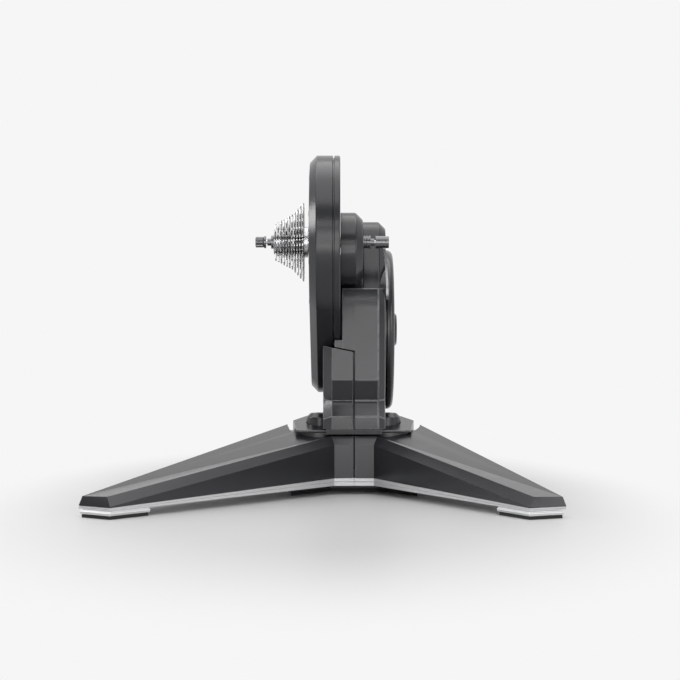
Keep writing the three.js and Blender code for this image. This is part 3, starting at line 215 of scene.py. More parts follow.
# In the frame's metres, on the lines along x that turned marks run round.
AXLE_CENTRE = (0.0, 0.0394124, 0.341)
FLYWHEEL_CENTRE = (0.0, 0.1574124, 0.223014)


class Grain(Enum):
    """How a surface was made, which sets its fine relief."""

    MOULDED = "moulded"
    PAINTED = "painted"
    TURNED = "turned"
    DRAWN = "drawn"
    CAST = "cast"
    RUBBER = "rubber"
    WOUND = "wound"
    CIRCUIT = "circuit"


@dataclass(frozen=True)
class Finish:
    """A surface finish with its colour, gloss and relief.

    Attributes:
        name: The material's name.
        color: Linear base colour.
        roughness: Mean roughness.
        metallic: 1 for bare metal.
        coat: Weight of a clear coat.
        grain: How the surface was made.
        relief: Height of the fine relief, in metres.
        edge_wear_and_highlight: How much lighter its edges are painted, partly as worn edges and
            partly as a painted highlight.
        centre: Point in metres that turned marks run round, on a line along x.
        bump: Strength of the relief's bump.
    """

    name: str
    color: Color
    roughness: float
    metallic: float = 0.0
    coat: float = 0.0
    grain: Grain = Grain.MOULDED
    relief: float = 0.00006
    edge_wear_and_highlight: float = 0.5
    centre: Triple = AXLE_CENTRE
    bump: float = 0.8

    def _relief(self, graph: Graph, place: Wire) -> Wire:
        """Fine relief of the surface, from 0 to 1."""
        if self.grain is Grain.MOULDED:
            return graph.noise(place, 1900.0, 3.0) * 0.7 + graph.cells(place, 900.0) * 0.3
        if self.grain is Grain.PAINTED:
            return graph.noise(place, 420.0, 1.0) * 0.8 + graph.noise(place, 2600.0) * 0.2
        if self.grain is Grain.CAST:
            return graph.noise(place, 520.0, 6.0) * 0.6 + graph.cells(place, 700.0) * 0.4
        if self.grain is Grain.RUBBER:
            return graph.noise(place, 1300.0, 5.0)
        if self.grain is Grain.DRAWN:
            streaks = graph.stretched(place, (60.0, 60.0, 3200.0))
            return graph.noise(streaks, 1.0, 3.0)
        if self.grain is Grain.CIRCUIT:
            lines = graph.stretched(place, (700.0, 30.0, 260.0))
            return graph.cells(lines, 1.0).above(0.35, 0.45)
        return self._rings(graph, place)

    def _rings(self, graph: Graph, place: Wire) -> Wire:
        """Marks that run round the centre line, as a lathe or a winding leaves them."""
        lumps = 5200.0 if self.grain is Grain.TURNED else 1600.0
        reach = graph.length(graph.stretched(place, (0.0, 1.0, 1.0), self.centre))
        values = {"X": reach * lumps, "Y": graph.axis(place, "X") * lumps, "Z": 0.0}
        return graph.noise(graph.add("ShaderNodeCombineXYZ", values=values), 1.0)

    def _shades(self, gain: float, lift: float) -> Color:
        """The finish's colour, stronger or weaker by a gain, with a lift to each channel."""
        return tuple(min(1.0, channel * gain + lift) for channel in self.color)

    def material(self) -> bpy.types.Material:
        """Builds the procedural material, or hands back the one already built.

        Returns:
            A material whose colour, roughness and relief vary as the real finish's do; its bevels
            are painted lighter, partly as worn edges and partly as a painted highlight.
        """
        known = bpy.data.materials.get(self.name)
        if known:
            return known
        graph = Graph(bpy.data.materials.new(self.name))
        place = graph.place()
        relief = self._relief(graph, place)
        cloud = graph.noise(place, scale=9.0, detail=4.0) * 0.6 + relief * 0.4
        handled = graph.noise(place, scale=34.0, detail=5.0).above(0.52, 0.72)
        dusty = graph.noise(place, scale=15.0).above(0.5, 0.7)
        speck = graph.cells(place, scale=210.0).above(0.09, 0.03) * dusty
        edge = graph.add(
            "ShaderNodeAttribute", {"attribute_name": EDGE_ATTRIBUTE}, output="Fac")
        # Bevels are painted lighter, partly as worn edges and partly as a painted highlight where
        # bevels would catch the lamps.
        worn_and_lit_edge = edge * graph.noise(place, scale=90.0, detail=4.0).above(0.1, 0.55) * self.edge_wear_and_highlight
        color = graph.mix(cloud, self._shades(0.86, 0.0), self._shades(1.12, 0.002))
        # The finish lifted lighter: the colour of the painted highlight and of the worn edges on
        # the bevels.
        color = graph.mix(worn_and_lit_edge, color, self._shades(1.4, 0.11))
        color = graph.mix(speck * 0.06, color, DUST)
        rough = handled * -0.05 + relief * 0.08 + speck * 0.15 + (self.roughness - 0.03)
        return graph.surface(graph.add("ShaderNodeBsdfPrincipled", values={
            "Base Color": color,
            "Roughness": rough,
            "Metallic": self.metallic,
            "Coat Weight": self.coat,
            "Normal": graph.bump(relief, self.bump, self.relief),
        }))


# The plastics and the rubber have their bevels painted well lighter, partly as worn edges and
# partly as a painted highlight.
HOUSING = Finish("housing_plastic", (0.0196, 0.0205, 0.0232), 0.22, edge_wear_and_highlight=0.9)
COVER = Finish("cover_plastic", (0.019, 0.0198, 0.022), 0.22, edge_wear_and_highlight=0.8)
LEG = Finish("leg_plastic", (0.021, 0.0217, 0.0245), 0.22, edge_wear_and_highlight=0.85)
BLACK = Finish("black_plastic", (0.012, 0.012, 0.013), 0.45, relief=0.00003)
SILVER = Finish("silver_paint", (0.56, 0.565, 0.57), 0.36, 0.25, 0.15, Grain.PAINTED, 0.00003)
RUBBER = Finish("rubber", (0.014,) * 3, 0.78, grain=Grain.RUBBER, relief=0.00012, edge_wear_and_highlight=0.8)
CASTING = Finish("painted_casting", (0.028, 0.029, 0.031), 0.5, 0.2, 0.15, Grain.CAST, 0.00014)
STEEL = Finish("bright_steel", (0.62, 0.62, 0.63), 0.24, 1.0, 0.0, Grain.DRAWN, 0.00001)
SPROCKET = Finish("plated_steel", (0.36, 0.36, 0.365), 0.2, 1.0, 0.0, Grain.TURNED, 0.00001)
ALLOY = Finish("turned_alloy", (0.75, 0.76, 0.77), 0.3, 1.0, 0.0, Grain.TURNED, 0.00001)
ANODISED = Finish("black_chrome", (0.15, 0.15, 0.155), 0.16, 1.0, 0.0, Grain.TURNED, 0.000005)
PLATE = Finish("zinc_plate", (0.3, 0.31, 0.32), 0.4, 1.0, 0.0, Grain.DRAWN, 0.00002)
MASS = Finish(
    "flywheel_iron", (0.2, 0.2, 0.21), 0.34, 1.0, 0.0, Grain.TURNED, 0.00002,
    centre=FLYWHEEL_CENTRE)
WINDING = Finish(
    "copper_winding", (0.5, 0.17, 0.06), 0.3, 0.9, 0.5, Grain.WOUND, 0.0001,
    centre=FLYWHEEL_CENTRE)
BOARD = Finish("circuit_board", (0.02, 0.13, 0.05), 0.35, coat=0.4, grain=Grain.CIRCUIT)
BELT = Finish("belt_rubber", (0.016, 0.016, 0.017), 0.6, grain=Grain.RUBBER, relief=0.0001)
LENS = Finish("light_lens", (0.35, 0.6, 0.85), 0.12, coat=1.0, relief=0.00001)


# ---- Modelling ----


@dataclass(frozen=True)
class Wheel:
    """One circle of a side view."""

    y: float
    z: float
    radius: float

    @property
    def centre(self) -> Vector:
        """Its centre in the plane x = 0."""
        return Vector((0.0, self.y, self.z))


def farthest(wheels: Iterable[Wheel], out_y: float, out_z: float) -> Wheel:
    """The wheel that reaches farthest in a direction of the side view."""
    return max(wheels, key=lambda wheel: wheel.y * out_y + wheel.z * out_z + wheel.radius)


def spokes(count: int) -> list[Vector]:
    """Directions square to x, spread evenly, with the first half a step from +y."""
    turns = (2.0 * math.pi * (index + 0.5) / count for index in range(count))
    return [Vector((0.0, math.cos(turn), math.sin(turn))) for turn in turns]


def only(kind: type, items: Iterable[object]) -> list:
    """The mesh elements of one kind, in their order."""
    return [item for item in items if isinstance(item, kind)]


def linked(verts: Verts) -> Edges:
    """The edges that end in some points, each once."""
    return list(dict.fromkeys(edge for vert in verts for edge in vert.link_edges))


def rounded(corners: Corners, steps: int = 4) -> list[Pair]:
    """Rounds the corners of a profile.

    Args:
        corners: The profile's corners.
        steps: Flats in each rounded corner.

    Returns:
        The profile as pairs of place and reach.
    """
    points = [Vector(corner[:2]) for corner in corners]
    made: list[Pair] = []
    for index, (place, reach, radius) in enumerate(corners):
        if radius <= 0.0 or index in (0, len(corners) - 1):
            made.append((place, reach))
            continue
        corner = points[index]
        back = (points[index - 1] - corner).normalized()
        on = (points[index + 1] - corner).normalized()
        half = back.angle(on) / 2.0
        centre = corner + (back + on).normalized() * (radius / math.sin(half))
        start = corner + back * (radius / math.tan(half)) - centre
        end = corner + on * (radius / math.tan(half)) - centre
        for step in range(steps + 1):
            made.append(tuple(centre + start.lerp(end, step / steps).normalized() * radius))
    return made


class Model:
    """A mesh in the making, in design millimetres, shaped by bmesh operators."""

    def __init__(self) -> None:
        """Starts with nothing."""
        self.bm = bmesh.new()

    def sweep(self, wheels: Sequence[Wheel], corners: Corners, capped: bool = True) -> Edges:
        """Sweeps a profile round wheels joined by tangents.

        Args:
            wheels: Circles of the side view.
            corners: The profile, whose reach is the inset from the wheels' own radii.
            capped: Closes both ends.

        Returns:
            The edges of the last ring.
        """
        profile = rounded(corners)
        turn = self.bm.verts.layers.float_vector.new("turn")
        verts = bmesh.ops.create_circle(
            self.bm, cap_ends=False, segments=SWEEP_SEGMENTS, radius=1.0)["verts"]
        for vert in verts:
            vert[turn] = vert.co.copy()
        first = edges = linked(verts)
        self._place(verts, turn, wheels, profile[0])
        for spot in profile[1:]:
            verts, edges = self._grow(edges)
            self._place(verts, turn, wheels, spot)
        if capped:
            for loop in (first, edges):
                bmesh.ops.edgeloop_fill(self.bm, edges=loop)
        layers = self.bm.verts.layers.float_vector
        layers.remove(layers["turn"])
        return edges

    @staticmethod
    def _place(verts: Verts, turn: object, wheels: Sequence[Wheel], spot: Pair) -> None:
        """Sets one ring of a sweep at its x and inset."""
        x, inset = spot
        for vert in verts:
            out_y, out_z = vert[turn].x, vert[turn].y
            wheel = farthest(wheels, out_y, out_z)
            reach = wheel.radius - inset
            vert.co = Vector((x, wheel.y + reach * out_y, wheel.z + reach * out_z))

    def _grow(self, edges: Edges) -> tuple[Verts, Edges]:
        """Draws a wall from a loop of edges and hands back its far points and edges."""
        grown = bmesh.ops.extrude_edge_only(self.bm, edges=edges)["geom"]
        verts = only(BMVert, grown)
        fresh = set(verts)
        far = [edge for edge in only(BMEdge, grown) if fresh.issuperset(edge.verts)]
        return verts, far

    def spin(
        self, corners: Corners, centre: Vector, axis: Vector = X_AXIS, segments: int = 96,
        ring: bool = False, steps: int = 4,
    ) -> "Model":
        """Turns a profile about a line.

        Args:
            corners: The profile, with places along the axis measured from the origin.
            centre: A point of the line.
            axis: The line's direction, x or z.
            segments: Flats all round.
            ring: Joins the profile's last point to its first.
            steps: Flats in each rounded corner.

        Returns:
            This model.
        """
        side = Y_AXIS if axis == Z_AXIS else Z_AXIS
        foot = centre - axis * centre.dot(axis)
        verts = [
            self.bm.verts.new(foot + axis * along + side * reach)
            for along, reach in rounded(corners, steps)]
        pairs = list(zip(verts, verts[1:]))
        if ring:
            pairs.append((verts[-1], verts[0]))
        edges = [self.bm.edges.new(pair) for pair in pairs]
        bmesh.ops.spin(
            self.bm, geom=verts + edges, cent=foot, axis=axis, angle=2.0 * math.pi,
            steps=segments, use_merge=True)
        return self

    def circle(self, centre: Vector, radius: float, segments: int) -> Edges:
        """Adds a bare ring that faces along x and hands back its edges."""
        place = Matrix.Translation(centre) @ Matrix.Rotation(math.pi / 2.0, 4, Y_AXIS)
        verts = bmesh.ops.create_circle(
            self.bm, cap_ends=False, segments=segments, radius=radius, matrix=place)["verts"]
        return linked(verts)

    def fill(self, edges: Edges) -> list[BMFace]:
        """Fills one loop, or the space between loops, with faces and hands them back."""
        made = bmesh.ops.triangle_fill(
            self.bm, edges=edges, use_beauty=True, use_dissolve=False)["geom"]
        return only(BMFace, made)

    def extrude(self, edges: Edges, run: Vector) -> Edges:
        """Draws a wall along a run from a loop of edges and hands back its far loop."""
        verts, far = self._grow(edges)
        bmesh.ops.translate(self.bm, verts=verts, vec=run)
        return far

    def thicken(self, faces: list[BMFace], run: Vector) -> "Model":
        """Makes faces into a solid that is as long as the run."""
        grown = bmesh.ops.extrude_face_region(self.bm, geom=faces)["geom"]
        bmesh.ops.translate(self.bm, verts=only(BMVert, grown), vec=run)
        return self

    def prism(self, outline: Sequence[Pair], low: float, high: float) -> "Model":
        """Extrudes an outline of pairs of y and z from one x to another."""
        verts = [self.bm.verts.new((low, y, z)) for y, z in outline]
        return self.thicken([self.bm.faces.new(verts)], X_AXIS * (high - low))

    def _sharp(self, angle: float) -> Edges:
        """The edges whose faces meet at more than so many degrees."""
        bmesh.ops.recalc_face_normals(self.bm, faces=self.bm.faces)
        return [
            edge for edge in self.bm.edges
            if edge.is_manifold and edge.calc_face_angle(0.0) > math.radians(angle)]

    def _bevel(self, edges: Edges, width: float, segments: int) -> list[BMFace]:
        """Bevels edges and hands back the new faces."""
        return bmesh.ops.bevel(
            self.bm, geom=edges, offset=width, offset_type="OFFSET", segments=segments,
            profile=0.5, affect="EDGES", clamp_overlap=True, material=-1)["faces"]

    def soften(
        self, width: float, segments: int = 3, angle: float = SHARP_ANGLE,
        keep: Callable[[Vector], bool] = lambda spot: False,
    ) -> "Model":
        """Bevels every sharp edge and marks the new faces as an edge that is painted lighter, as
        worn edges and as a painted highlight.

        Args:
            width: The bevel's width along each face.
            segments: Its number of flats.
            angle: Edges sharper than this many degrees are bevelled.
            keep: Says of a point whether edges with both ends there stay as they are.

        Returns:
            This model.
        """
        bmesh.ops.remove_doubles(self.bm, verts=self.bm.verts, dist=MERGE_DISTANCE)
        edges = [edge for edge in self._sharp(angle) if not all(keep(v.co) for v in edge.verts)]
        layer = self.bm.faces.layers.float.new(EDGE_ATTRIBUTE)
        for face in self._bevel(edges, width, segments):
            face[layer] = 1.0
        return self

    def chamfer(
        self, near: Callable[[Vector], bool], width: float, segments: int = 1,
    ) -> "Model":
        """Bevels the sharp edges whose two ends both lie where a test says.

        Args:
            near: Says of a point whether it lies on the wanted run.
            width: The bevel's width along each face.
            segments: Its number of flats.

        Returns:
            This model.
        """
        edges = [edge for edge in self._sharp(SHARP_ANGLE) if all(near(v.co) for v in edge.verts)]
        self._bevel(edges, width, segments)
        return self

    def groove(self, half_width: float, depth: float) -> "Model":
        """Runs a V groove round the wall of a flat plate, halfway up.

        Args:
            half_width: Half the groove's width, as a share of the wall's height.
            depth: Its depth.

        Returns:
            This model.
        """
        bmesh.ops.recalc_face_normals(self.bm, faces=self.bm.faces)
        uprights = dict.fromkeys(
            edge for face in self.bm.faces for edge in face.edges
            if abs(face.normal.z) < WALL_TILT and len(face.verts) == 4
            and abs(edge.verts[0].co.z - edge.verts[1].co.z) > UPRIGHT_SHARE * edge.calc_length())
        made = bmesh.ops.subdivide_edges(self.bm, edges=list(uprights), cuts=3)["geom_inner"]
        columns: dict[Pair, Verts] = {}
        for vert in only(BMVert, made):
            columns.setdefault((round(vert.co.x, 1), round(vert.co.y, 1)), []).append(vert)
        for column in columns.values():
            if len(column) != 3:
                continue
            low, middle, high = sorted(column, key=lambda vert: vert.co.z)
            reach = half_width * 2.0 * (high.co.z - low.co.z)
            low.co.z = middle.co.z - reach
            high.co.z = middle.co.z + reach
            out = middle.normal.copy()
            middle.co -= Vector((out.x, out.y, 0.0)).normalized() * depth
        return self

    def widened(self, low: float, high: float) -> "Model":
        """Scales the plan about its middle, by one share at the bottom and another at the top.

        Args:
            low: Share at the lowest point.
            high: Share at the highest point.

        Returns:
            This model.
        """
        spots = [vert.co.copy() for vert in self.bm.verts]
        middle = sum(spots, Vector()) / len(spots)
        floor = min(spot.z for spot in spots)
        height = max(spot.z for spot in spots) - floor
        for vert in self.bm.verts:
            share = low + (high - low) * (vert.co.z - floor) / height
            vert.co.x = middle.x + (vert.co.x - middle.x) * share
            vert.co.y = middle.y + (vert.co.y - middle.y) * share
        return self

    def finish(
        self, name: str, finish: Finish, slot: str = "shell", replaces: str = "",
        body: str = "frame",
    ) -> None:
        """Makes the piece: closes and turns its faces, places it and dresses it.

        Args:
            name: The piece's name.
            finish: Its surface finish.
            slot: The record's material slot; not used.
            replaces: The CAD node that it stands for, if any.
            body: The CAD body that it rides on.
        """
        bmesh.ops.remove_doubles(self.bm, verts=self.bm.verts, dist=MERGE_DISTANCE)
        bmesh.ops.recalc_face_normals(self.bm, faces=self.bm.faces)
        bmesh.ops.transform(self.bm, matrix=TO_FRAME, verts=self.bm.verts)
        mesh = bpy.data.meshes.new(name)
        self.bm.to_mesh(mesh)
        self.bm.free()
        mesh.shade_smooth()
        mesh.set_sharp_from_angle(angle=math.radians(CREASE_ANGLE))
        mesh.materials.append(finish.material())
        piece = bpy.data.objects.new(name, mesh)
        bpy.context.scene.collection.objects.link(piece)
        piece.modifiers.new("even_normals", "WEIGHTED_NORMAL").keep_sharp = True
        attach(piece, body)
        if replaces:
            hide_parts(replaces)
        LOG.info("%s: %d faces, %s, rides on %s", name, len(mesh.polygons), finish.name, body)


def copied(node: str) -> Model:
    """A model that starts as a merged copy of a CAD node, in design millimetres."""
    model = Model()
    model.bm.from_mesh(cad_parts[node].data)
    bmesh.ops.transform(model.bm, matrix=TO_DESIGN, verts=model.bm.verts)
    bmesh.ops.remove_doubles(model.bm, verts=model.bm.verts, dist=MERGE_DISTANCE)
    bmesh.ops.dissolve_limit(
        model.bm, angle_limit=math.radians(FLAT_ANGLE), verts=model.bm.verts,
        edges=model.bm.edges)
    return model


# ---- Sub-assemblies ----


AXLE = Vector((0.0, 0.0, 341.0))
DISC = (Wheel(0.0, AXLE.z, 117.0), Wheel(118.0, 223.014, 90.0))


@dataclass
class Screws:
    """Socket head screws that lie on a face square to x.

    Attributes:
        root: How far a head reaches below the spot where it is set.
        socket_floor: Height of the socket's floor, as a share of the head's.
    """

    head_radius: float = 4.2
    head_height: float = 1.8
    root: float = 0.6
    rounding: float = 0.7
    socket_radius: float = 2.1
    socket_rim: float = 2.625
    socket_sides: int = 6
    socket_floor: float = 0.35

    def build(self, name: str, spots: Iterable[Vector], outward: Vector) -> None:
        """Makes one piece of several screws.

        Args:
            name: The piece's name.
            spots: Where each screw's head is set.
            outward: The way that the heads face.
        """
        model = Model()
        turn = X_AXIS.rotation_difference(outward).to_matrix().to_4x4()
        for spot in spots:
            known = set(model.bm.verts)
            self._head(model)
            fresh = [vert for vert in model.bm.verts if vert not in known]
            bmesh.ops.transform(model.bm, matrix=Matrix.Translation(spot) @ turn, verts=fresh)
        model.finish(name, ANODISED, "steel")

    def _head(self, model: Model) -> None:
        """Adds one head that faces +x at the origin."""
        top = self.head_height
        model.spin((
            (-self.root, self.head_radius, 0.0), (top, self.head_radius, self.rounding),
            (top, self.socket_rim, 0.0)), Vector(), segments=24)
        rim = [
            edge for edge in model.bm.edges
            if edge.is_boundary and min(vert.co.x for vert in edge.verts) > top - TOUCHING]
        socket = model.circle(X_AXIS * top, self.socket_radius, self.socket_sides)
        model.fill(rim + socket)
        model.fill(model.extrude(socket, X_AXIS * top * (self.socket_floor - 1.0)))


@dataclass(frozen=True)
class Tower:
    """The side view that both halves of the tower share, and the seam between the halves.

    Attributes:
        face: Pairs of y and z down the front: crease, undercut, ramp and foot.
        corner_back_y: Points before this belong to the front's corners.
        tongue_z: Height of the seam's short upper run, where it crosses slope_x.
        seam_slope: How fast that run rises towards +x.
    """

    front_y: float = -20.0
    face: tuple[Pair, ...] = (
        (-20.0, 154.0), (-5.5, 126.0), (-8.0, 119.0), (-20.0, 105.0), (-20.0, 87.3))
    corner_back_y: float = -3.0
    side_bevel: float = 9.5
    edge_bevel: float = 1.4
    seam_bevel: float = 0.7
    seam_slope: float = -0.2
    slope_x: float = 31.0
    slope_reach: float = 2.0
    tongue_z: float = 194.5
    above_seam_z: float = 195.9

    def slope(self, model: Model) -> None:
        """Tilts a column's faces along the seam's short upper run."""
        for vert in model.bm.verts:
            if abs(vert.co.z - self.tongue_z) < self.slope_reach:
                vert.co.z += (vert.co.x - self.slope_x) * self.seam_slope

    def front_corner(self, side_x: float) -> Callable[[Vector], bool]:
        """Tests for points on the front's vertical corner at one side."""
        return lambda spot: abs(spot.x - side_x) < TOUCHING and spot.y < self.corner_back_y

    def outline(self, top_z: float, back_y: float) -> list[Pair]:
        """Side view, as pairs of y and z, of a block with the tower's front."""
        return [
            (back_y, top_z), (self.front_y, top_z), *self.face, (back_y, self.face[-1][1])]


@dataclass
class BeltCover:
    """The dish over the belt drive, with the left half of the tower under it.

    Attributes:
        dish: Profile of the dish, from the seam's lip to the recessed panel.
        collar: Profile of the raised ring that the freehub's neck comes out of.
        rear_inset: How far the rear part of the column stays inside the front part.
        screw_x: Where the screws are set.
        screw_inset: How far inside the dish's outline they are.
    """

    dish: Corners = (
        (10.4, 3.0, 0.0), (16.4, 3.0, 0.0), (16.4, 0.0, 0.9), (-5.0, 0.0, 2.5),
        (-14.5, 10.0, 2.0), (-14.5, 24.0, 0.0), (-13.6, 24.9, 0.0))
    collar: Corners = (
        (-11.6, 31.0, 0.0), (-14.8, 31.0, 0.8), (-14.8, 25.0, 0.8), (-11.6, 22.4, 0.0))
    opening_radius: float = 23.0
    opening_depth: float = 3.0
    tower: Tower = Tower()
    column_left_x: float = 3.0
    column_right_x: float = 43.6
    column_bevel: float = 13.5
    column_back_y: float = 21.0
    rear_right_x: float = 16.4
    rear_front_y: float = 4.0
    rear_back_y: float = 58.0
    rear_inset: float = 0.15
    rear_bevel: float = 1.0
    screw_x: float = -13.1
    screw_inset: float = 17.0
    screw_count: int = 10

    def build(self) -> None:
        """Builds the cover, its collar, its screws and the column."""
        self._dish()
        Model().spin(self.collar, AXLE, ring=True).finish("axle_collar", BLACK)
        spots = []
        for out in spokes(self.screw_count):
            wheel = farthest(DISC, out.y, out.z)
            spots.append(wheel.centre + out * (wheel.radius - self.screw_inset))
        spots = [spot + X_AXIS * self.screw_x for spot in spots]
        Screws().build("belt_cover_screws", spots, -X_AXIS)
        self._column()

    def _dish(self) -> None:
        """The swept dish with a shallow recessed panel and the axle's opening."""
        model = Model()
        rim = model.sweep(DISC, self.dish, capped=False)
        opening = model.circle(AXLE + X_AXIS * self.dish[-1][0], self.opening_radius, 64)
        model.fill(rim + opening)
        model.extrude(opening, X_AXIS * self.opening_depth)
        model.finish("belt_cover", HOUSING, replaces="drive_side_shell")

    def _column(self) -> None:
        """The left half of the tower's front column, and the narrower part behind it."""
        tower, left, right = self.tower, self.column_left_x, self.column_right_x
        model = Model().prism(tower.outline(tower.tongue_z, self.column_back_y), left, right)
        tower.slope(model)
        model.chamfer(tower.front_corner(left), self.column_bevel)
        model.chamfer(lambda spot: spot.x > right - TOUCHING, tower.seam_bevel, 2)
        model.soften(tower.edge_bevel).finish("left_column", HOUSING)
        outline = tower.outline(tower.tongue_z - self.rear_inset, self.rear_back_y)
        rear = [(max(y, self.rear_front_y), z) for y, z in outline]
        Model().prism(rear, left + self.rear_inset, self.rear_right_x).soften(
            self.rear_bevel).finish("left_column_rear", HOUSING)


@dataclass
class FlywheelHousing:
    """The flange behind the seam, the tower's right side, the drum and its shoulder.

    Attributes:
        flange: Profile of the second rim, with the dark groove of the seam before it.
        brow: Pairs of y and z over the top of the upper column.
        tongue: Low and high x, and low and high y, of the tab beside the flange.
        liner_xs: Low and high x of the dark strip at the bottom of the upright seam.
        liner_depth: How far behind the front that strip lies.
        drum: Profile of the drum round the flywheel.
        shoulder: Profile of the shoulder that rises from it behind the hub housing.
    """

    flange: Corners = (
        (16.7, 30.0, 0.0), (16.7, 3.0, 0.0), (18.4, 3.0, 0.0), (18.4, 0.0, 0.9),
        (26.4, 0.0, 2.2), (26.4, 16.0, 0.0), (25.4, 17.0, 0.0), (25.4, 30.0, 0.0))
    tower: Tower = Tower()
    column_left_x: float = 28.4
    seam_x: float = 46.3
    column_right_x: float = 87.5
    column_back_y: float = 58.0
    brow: tuple[Pair, ...] = ((58.0, 278.0), (-12.0, 278.0), (-20.0, 251.5))
    tongue: tuple[float, float, float, float] = (18.4, 32.4, -19.9, 21.0)
    tongue_top_z: float = 208.0
    tongue_bevel: float = 1.2
    liner_xs: Pair = (43.7, 46.2)
    liner_depth: float = 4.5
    liner_top_z: float = 192.0
    liner_back_y: float = 20.0
    drum: Corners = (
        (26.4, 60.0, 0.0), (26.4, 107.5, 0.0), (28.9, 110.0, 0.0), (90.4, 110.0, 0.8),
        (90.4, 60.0, 0.0))
    drum_wheel: Wheel = Wheel(118.0, 223.014, 110.0)
    shoulder: Corners = (
        (58.0, 30.0, 0.0), (58.0, 0.2, 1.5), (80.4, 0.2, 4.0), (90.2, 10.0, 2.5),
        (90.2, 30.0, 0.0))
    shoulder_wheel: Wheel = Wheel(96.0, 336.0, 40.0)

    def build(self) -> None:
        """Builds the flange, the columns, the seam's pieces and the drum."""
        self._swept("seam_flange", DISC, self.flange, "flywheel_side_shell")
        self._columns()
        self._seam()
        Model().spin(self.drum, self.drum_wheel.centre, segments=144).finish(
            "flywheel_drum", HOUSING)
        self._swept("drum_shoulder", (self.drum_wheel, self.shoulder_wheel), self.shoulder)

    @staticmethod
    def _swept(name: str, wheels: Sequence[Wheel], corners: Corners, node: str = "") -> None:
        """A piece with one profile all round its side view."""
        model = Model()
        model.sweep(wheels, corners)
        model.finish(name, HOUSING, replaces=node)

    def _columns(self) -> None:
        """The tower's right side, and the upper column to the left of its seam."""
        tower, seam, back = self.tower, self.seam_x, self.column_back_y
        whole = [*self.brow, *tower.outline(tower.tongue_z, back)[2:]]
        right = Model().prism(whole, seam, self.column_right_x)
        right.chamfer(tower.front_corner(self.column_right_x), tower.side_bevel)
        right.soften(tower.edge_bevel, keep=lambda spot: spot.x < seam + TOUCHING)
        right.finish("right_column", HOUSING)
        upper = [*self.brow, (tower.front_y, tower.above_seam_z), (back, tower.above_seam_z)]
        left = Model().prism(upper, self.column_left_x, seam)
        tower.slope(left)
        left.soften(tower.edge_bevel, keep=lambda spot: spot.x > seam - TOUCHING)
        left.finish("upper_column", HOUSING)

    def _seam(self) -> None:
        """The tab between the flange and the upper column, and the seam's dark strip."""
        left, right, front, back = self.tongue
        top, foot = self.tongue_top_z, self.tower.above_seam_z
        tab = Model().prism([(back, top), (front, top), (front, foot), (back, foot)], left, right)
        self.tower.slope(tab)
        tab.soften(self.tongue_bevel).finish("seam_tongue", HOUSING)
        outline = self.tower.outline(self.liner_top_z, self.liner_back_y)
        sunk = [(y + self.liner_depth if y < 0.0 else y, z) for y, z in outline]
        Model().prism(sunk, *self.liner_xs).finish("seam_liner", BLACK)


@dataclass
class HubHousing:
    """The round cap that holds the non drive end of the axle, and the collar in its middle."""

    centre_z: float = 331.0
    cap: Corners = (
        (26.7, 44.0, 0.0), (26.7, 50.0, 0.8), (47.0, 50.0, 4.0), (57.0, 40.0, 3.0),
        (57.0, 22.0, 0.0), (56.2, 21.0, 0.0), (56.2, 0.0, 0.0))
    seat: Corners = ((55.0, 13.5, 0.0), (56.9, 13.5, 0.8), (56.9, 9.6, 0.5), (55.0, 9.6, 0.0))

    def build(self) -> None:
        """Builds the cap and the collar round the axle."""
        Model().spin(self.cap, Vector((0.0, 0.0, self.centre_z))).finish(
            "hub_cap", HOUSING, replaces="hub_housing")
        Model().spin(self.seat, AXLE, segments=64, ring=True).finish("axle_seat_ring", BLACK)


